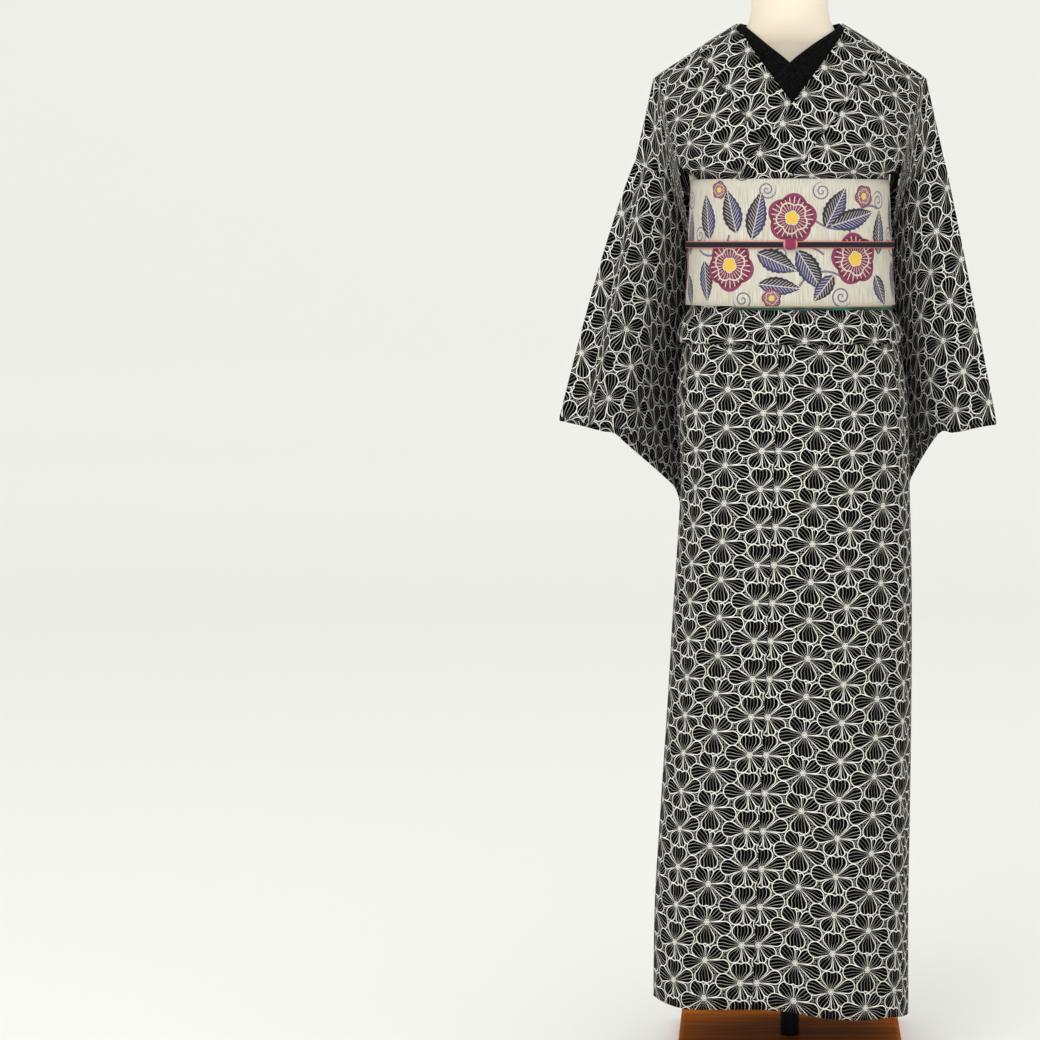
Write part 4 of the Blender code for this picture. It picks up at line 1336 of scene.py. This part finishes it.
GOLD = (0.42, 0.33, 0.15)
GOLD_ABOVE = 0.9794


leaf_group, given, result = new_group(
    "print leaf", "Place Foot", "Turn Long Broad", "Inside Pale Dark"
)
place, foot, turn, long, broad = given
along, across = turned(repeated(place, foot, PRINT_HALF), turn)
away = abs(across)
share = along / long
wave = calc("SINE", along * 0.9) * 0.05 + 1.0
edge = share * (1.0 - share) * (share * -2.2 + 5.1) * (broad * wave)
slant = calc("FRACT", away * -0.22 + along * 0.21)
dash = (slant < 0.17) * (away < edge * 0.72)
fill(result["Inside"], (away < edge) * (share < 1.0))
fill(result["Pale"], calc("MAXIMUM", away < 0.55, dash))
fill(result["Dark"], calc("MAXIMUM", away > edge - 0.8, across > edge * 0.2))

bloom_group, given, result = new_group(
    "print bloom", "Place Middle", "Radius Turn", "Inside Line Pink Heart"
)
place, middle, radius, turn = given
angle, reach = polar(repeated(place, middle, PRINT_HALF))
angle = angle + turn
share = reach / radius
lobes = abs(calc("COSINE", angle * 2.5))
outer_edge = lobes * 0.16 + 0.84
middle_edge = abs(calc("SINE", angle * 2.5)) * 0.13 + 0.50
centre_edge = lobes * 0.05 + 0.22
rays = calc("FRACT", angle * (25.0 / (2.0 * math.pi)))
ray = (rays < 0.20) * (share < outer_edge * 0.86)
line = calc("MAXIMUM", abs(share - middle_edge) < 0.030, abs(share - centre_edge) < 0.035)
fill(result["Inside"], share < outer_edge)
fill(result["Line"], calc("MAXIMUM", line, ray))
fill(result["Pink"], calc("FRACT", share * 4.1) > 0.5)
fill(result["Heart"], share < centre_edge)

stem_group, given, result = new_group("print stem", "Place Middle", "Radius Start Sweep", "Inside")
place, middle, radius, start, sweep = given
angle, reach = polar(repeated(place, middle, PRINT_HALF))
turn = calc("WRAP", angle - start, 2 * math.pi, 0.0)
fill(result["Inside"], (abs(reach - radius) < 1.5) * (turn < sweep))

curl_group, given, result = new_group("print curl", "Place Middle", "Size Turn Hand", "Inside")
place, middle, size, turn, hand = given
angle, reach = polar(repeated(place, middle, PRINT_HALF))
share = reach / size
# Two rounds of a spiral: its radius grows by half of the size in each
turns = share * 2.0 - calc("FRACT", (angle * hand + turn) / (2 * math.pi))
away = abs(turns - calc("ROUND", turns))
fill(result["Inside"], (away < 0.16) * (share < 1.0))

sash_cloth, shader = surface_finish("printed slub cloth", 0.62, sheen=0.08)
place = cloth_place(shader)
slubs = texture("Noise", vector("MULTIPLY", place, (1.0, 0.03, 1.0)), 1.3, 4.0)
colour = blend_colour(clamp_range(slubs, 0.32, 0.68), GROUND_DARK, GROUND_LIGHT)
for stem in STEMS:
    made = use_group(
        stem_group, Place=place, Middle=(stem.across, stem.up, 0.0), Radius=stem.radius,
        Start=math.radians(stem.start), Sweep=math.radians(stem.sweep),
    )
    colour = blend_colour(made["Inside"], colour, STEM_GREY)
for curl in CURLS:
    made = use_group(
        curl_group, Place=place, Middle=(curl.across, curl.up, 0.0), Size=curl.size,
        Turn=curl.turn, Hand=curl.hand,
    )
    colour = blend_colour(made["Inside"], colour, STEM_GREY)
for leaf in LEAVES:
    made = use_group(
        leaf_group, Place=place, Foot=(leaf.across, leaf.up, 0.0),
        Turn=-math.radians(leaf.angle), Long=leaf.long, Broad=leaf.broad,
    )
    face = blend_colour(made["Dark"], LEAF_BLUE, LEAF_DARK)
    face = blend_colour(made["Pale"], face, PRINT_PALE)
    colour = blend_colour(made["Inside"], colour, face)
for bloom in BLOOMS:
    made = use_group(
        bloom_group, Place=place, Middle=(bloom.across, bloom.up, 0.0), Radius=bloom.radius,
        Turn=bloom.turn,
    )
    face = blend_colour(made["Pink"], BLOOM_RED, BLOOM_PINK)
    face = blend_colour(made["Line"], face, PRINT_PALE)
    face = blend_colour(made["Heart"], face, BLOOM_HEART)
    colour = blend_colour(made["Inside"], colour, face)
paint(shader, colour, slubs, 0.35, 0.0005)

grid = []
for i in range(OBI_ROWS + 1):
    height = OBI[0].height + (OBI[-1].height - OBI[0].height) * i / OBI_ROWS
    row = between(OBI, height)
    grid.append([around(row, 360.0 * k / OBI_COLUMNS) for k in range(OBI_COLUMNS)])
flat = mirrored(measured(grid, start=OBI_COLUMNS // 2, wrap=True))
obi_wrap = cloth("obi_wrap", grid, flat, wrap=True, thick=OBI_THICK)
dress(obi_wrap, sash_cloth)
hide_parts("obi_wrap")
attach(obi_wrap, "root")

grid = []
for height in UNDERLAYER_HEIGHTS:
    section = between(OBI, height)._replace(height=height)
    line = []
    for k in range(UNDERLAYER_COLUMNS + 1):
        angle = UNDERLAYER_START + UNDERLAYER_SWEEP * k / UNDERLAYER_COLUMNS
        line.append(around(section, angle, -OBI_THICK - UNDERLAYER_GAP))
    grid.append(line)
obi_underlayer = cloth("obi_underlayer", grid, mirrored(measured(grid)), thick=UNDERLAYER_THICK)
# The reverse is patchy teal, with a gold thread where it meets the sash's lower edge
teal, shader = surface_finish("teal reverse of the sash", 0.6, sheen=0.08)
place = object_place(shader)
patches = texture("Noise", vector("MULTIPLY", place, (40.0, 40.0, 300.0)), 1.0)
(height,) = split(place, "Z")
green = blend_colour(clamp_range(patches, 0.42, 0.58), TEAL_DARK, TEAL_LIGHT)
fill(shader.inputs["Base Color"], blend_colour(height > GOLD_ABOVE, green, GOLD))
dress(obi_underlayer, teal)
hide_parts("obi_underlayer")
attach(obi_underlayer, "root")


def bow(across, depth):
    """How far the knot's sides come forward at a distance from the centre."""
    return KNOT_BOW * (across / KNOT_HALF) ** 2 * ease(depth, 0.125, 0.2)


def bowed(path, name, half, thick):
    """A band of the knot: a path seen from the side, drawn out across the back."""
    grid = []
    for fold in path:
        line = []
        for k in range(KNOT_COLUMNS + 1):
            across = half * (2 * k / KNOT_COLUMNS - 1)
            line.append(Vector((across, fold.depth - bow(across, fold.depth), fold.height)))
        grid.append(line)
    grid = fine_grid(grid, KNOT_STEPS)
    band = cloth(name, grid, mirrored(measured(grid)), inside=(0.0, 0.16, 1.03), thick=thick,
                 offset=0.0)
    dress(band, sash_cloth)
    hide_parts(name)
    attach(band, "root")


bowed(DRUM, "obi_drum", KNOT_HALF, STIFF_CLOTH)
bowed(TAIL, "obi_tail", TAIL_HALF, STIFF_CLOTH)

grid = []
for i in range(END_ROWS + 1):
    height = END_BOTTOM + (END_TOP - END_BOTTOM) * i / END_ROWS
    line = []
    for k in range(KNOT_COLUMNS + 1):
        across = END_HALF * (2 * k / KNOT_COLUMNS - 1)
        line.append(Vector((across, END_DEPTH - bow(across, DRUM[-1].depth), height)))
    grid.append(line)
obi_end = cloth("obi_end", grid, mirrored(measured(grid)), inside=(0.0, 0.0, 1.05),
                thick=END_THICK, offset=0.0)
dress(obi_end, sash_cloth)
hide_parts("obi_end")
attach(obi_end, "root")


# Sash cord: a flat navy braid with coral edges, drawn round the middle of the sash and
# knotted in front with a magenta knot.
CORD_BOTTOM = 1.0545
CORD_TOP = 1.0635
CORD_THICK = 0.0035
CORD_WALL = 0.0026
CORD_BULGE = 0.0007
CORD_ROWS = 12
CORD_KNOT_CENTRE = 1.060
CORD_KNOT_SIZE = (0.0185, 0.0110, 0.0150)
NAVY = (0.010, 0.011, 0.022)
CORAL = (0.62, 0.20, 0.13)
CORAL_WIDTH = 1.0
MAGENTA = (0.24, 0.012, 0.075)
KNOT_CORAL = (0.70, 0.22, 0.17)
KNOT_EDGE = 0.0066

grid = []
for i in range(CORD_ROWS + 1):
    height = CORD_BOTTOM + (CORD_TOP - CORD_BOTTOM) * i / CORD_ROWS
    section = between(OBI, height)
    bulge = CORD_BULGE * math.sin(math.pi * i / CORD_ROWS) - CORD_BULGE
    out = SEAM + CORD_THICK + bulge
    grid.append([around(section, 360.0 * k / OBI_COLUMNS, out) for k in range(OBI_COLUMNS)])
flat = mirrored(measured(grid, start=OBI_COLUMNS // 2, wrap=True))
obi_cord = cloth("obi_cord", grid, flat, wrap=True, thick=CORD_WALL)
navy, shader = surface_finish("navy braid with coral edges", 0.6, gloss=0.2)
way, up = split(cloth_place(shader))
middle = (CORD_TOP - CORD_BOTTOM) * 500.0
away = abs(up - middle)
braid = calc("SINE", (way + away) * 2.4)
colour = blend_colour(away > middle - CORAL_WIDTH, NAVY, CORAL)
paint(shader, colour, braid, 0.5, 0.0006)
dress(obi_cord, navy)
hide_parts("obi_cord")
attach(obi_cord, "root")

front = between(OBI, CORD_KNOT_CENTRE).front + SEAM * 2 + CORD_THICK
mesh = bpy.data.meshes.new("cord_knot")
shape = bmesh.new()
bmesh.ops.create_uvsphere(shape, u_segments=48, v_segments=28, radius=0.5)
width, deep, tall = CORD_KNOT_SIZE
for vertex in shape.verts:
    x, y, z = vertex.co
    flat_y = y if y < 0 else y * 0.3
    vertex.co = (
        power(x * 2, 0.8) / 2 * width,
        (flat_y - 0.15) * deep - front,
        power(z * 2, 0.8) / 2 * tall + CORD_KNOT_CENTRE,
    )
shape.to_mesh(mesh)
shape.free()
cord_knot = put_in_scene("cord_knot", mesh)
magenta, shader = surface_finish("magenta knot with coral edges", 0.6, sheen=0.08)
(across,) = split(object_place(shader), "X")
colour = blend_colour(abs(across) > KNOT_EDGE, MAGENTA, KNOT_CORAL)
paint(shader, colour, calc("SINE", across * 2600.0), 0.5, 0.0006)
dress(cord_knot, magenta)
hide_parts("cord_knot")
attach(cord_knot, "root")


# Stage: a pale floor and wall in one sheet, soft light from large lamps, and the camera in
# front of the garment.
FLOOR = (0.90, 0.90, 0.8775, 1.0)
SHEET_HALF = 9.0
SHEET_PROFILE = (
    (-9.0, 0.0), (5.0, 0.0), (5.35, 0.04), (5.65, 0.16), (5.88, 0.38), (6.0, 0.7), (6.0, 8.0)
)


def lamp(name, place, aim, size, watts):
    light = bpy.data.lights.new(name, "AREA")
    light.energy = watts
    light.size = size
    thing = bpy.data.objects.new(name, light)
    bpy.context.scene.collection.objects.link(thing)
    thing.location = place
    thing.rotation_euler = (Vector(aim) - Vector(place)).to_track_quat("-Z", "Y").to_euler()


mesh = bpy.data.meshes.new("backdrop")
shape = bmesh.new()
for y, z in SHEET_PROFILE:
    shape.verts.new((-SHEET_HALF, y, z))
    shape.verts.new((SHEET_HALF, y, z))
shape.verts.ensure_lookup_table()
for i in range(len(SHEET_PROFILE) - 1):
    a = 2 * i
    shape.faces.new((shape.verts[a], shape.verts[a + 1], shape.verts[a + 3], shape.verts[a + 2]))
shape.to_mesh(mesh)
shape.free()
backdrop = put_in_scene("backdrop", mesh)
paper, shader = surface_finish("backdrop paper", 0.9)
shader.inputs["Base Color"].default_value = FLOOR
dress(backdrop, paper)

lamp("key", (-1.6, -3.4, 3.2), (0.0, 0.0, 0.8), 2.6, 46.0)
lamp("fill", (0.9, -4.4, 1.4), (0.0, 0.0, 0.9), 2.4, 27.0)
lamp("top", (0.0, 0.6, 4.2), (0.0, 0.3, 0.5), 3.2, 10.0)
world = bpy.data.worlds.new("studio")
world.use_nodes = True
world.node_tree.nodes["Background"].inputs["Color"].default_value = (0.98, 0.98, 0.96, 1.0)
world.node_tree.nodes["Background"].inputs["Strength"].default_value = 0.93
bpy.context.scene.world = world
bpy.context.scene.view_settings.view_transform = "Standard"

# The camera stands 4 m straight in front at chest height. Its frame is shifted, because the
# garment stands at the right of the picture and upright lines stay upright.
lens = bpy.data.cameras.new("camera")
lens.sensor_width = 36.0
lens.lens = 105.7
camera = bpy.data.objects.new("camera", lens)
bpy.context.scene.collection.objects.link(camera)
camera.location = (-0.026, -4.0, 1.06)
camera.rotation_euler = (math.radians(90.0), 0.0, 0.0)
lens.shift_x = -0.2404
lens.shift_y = -0.2654
bpy.context.scene.camera = camera

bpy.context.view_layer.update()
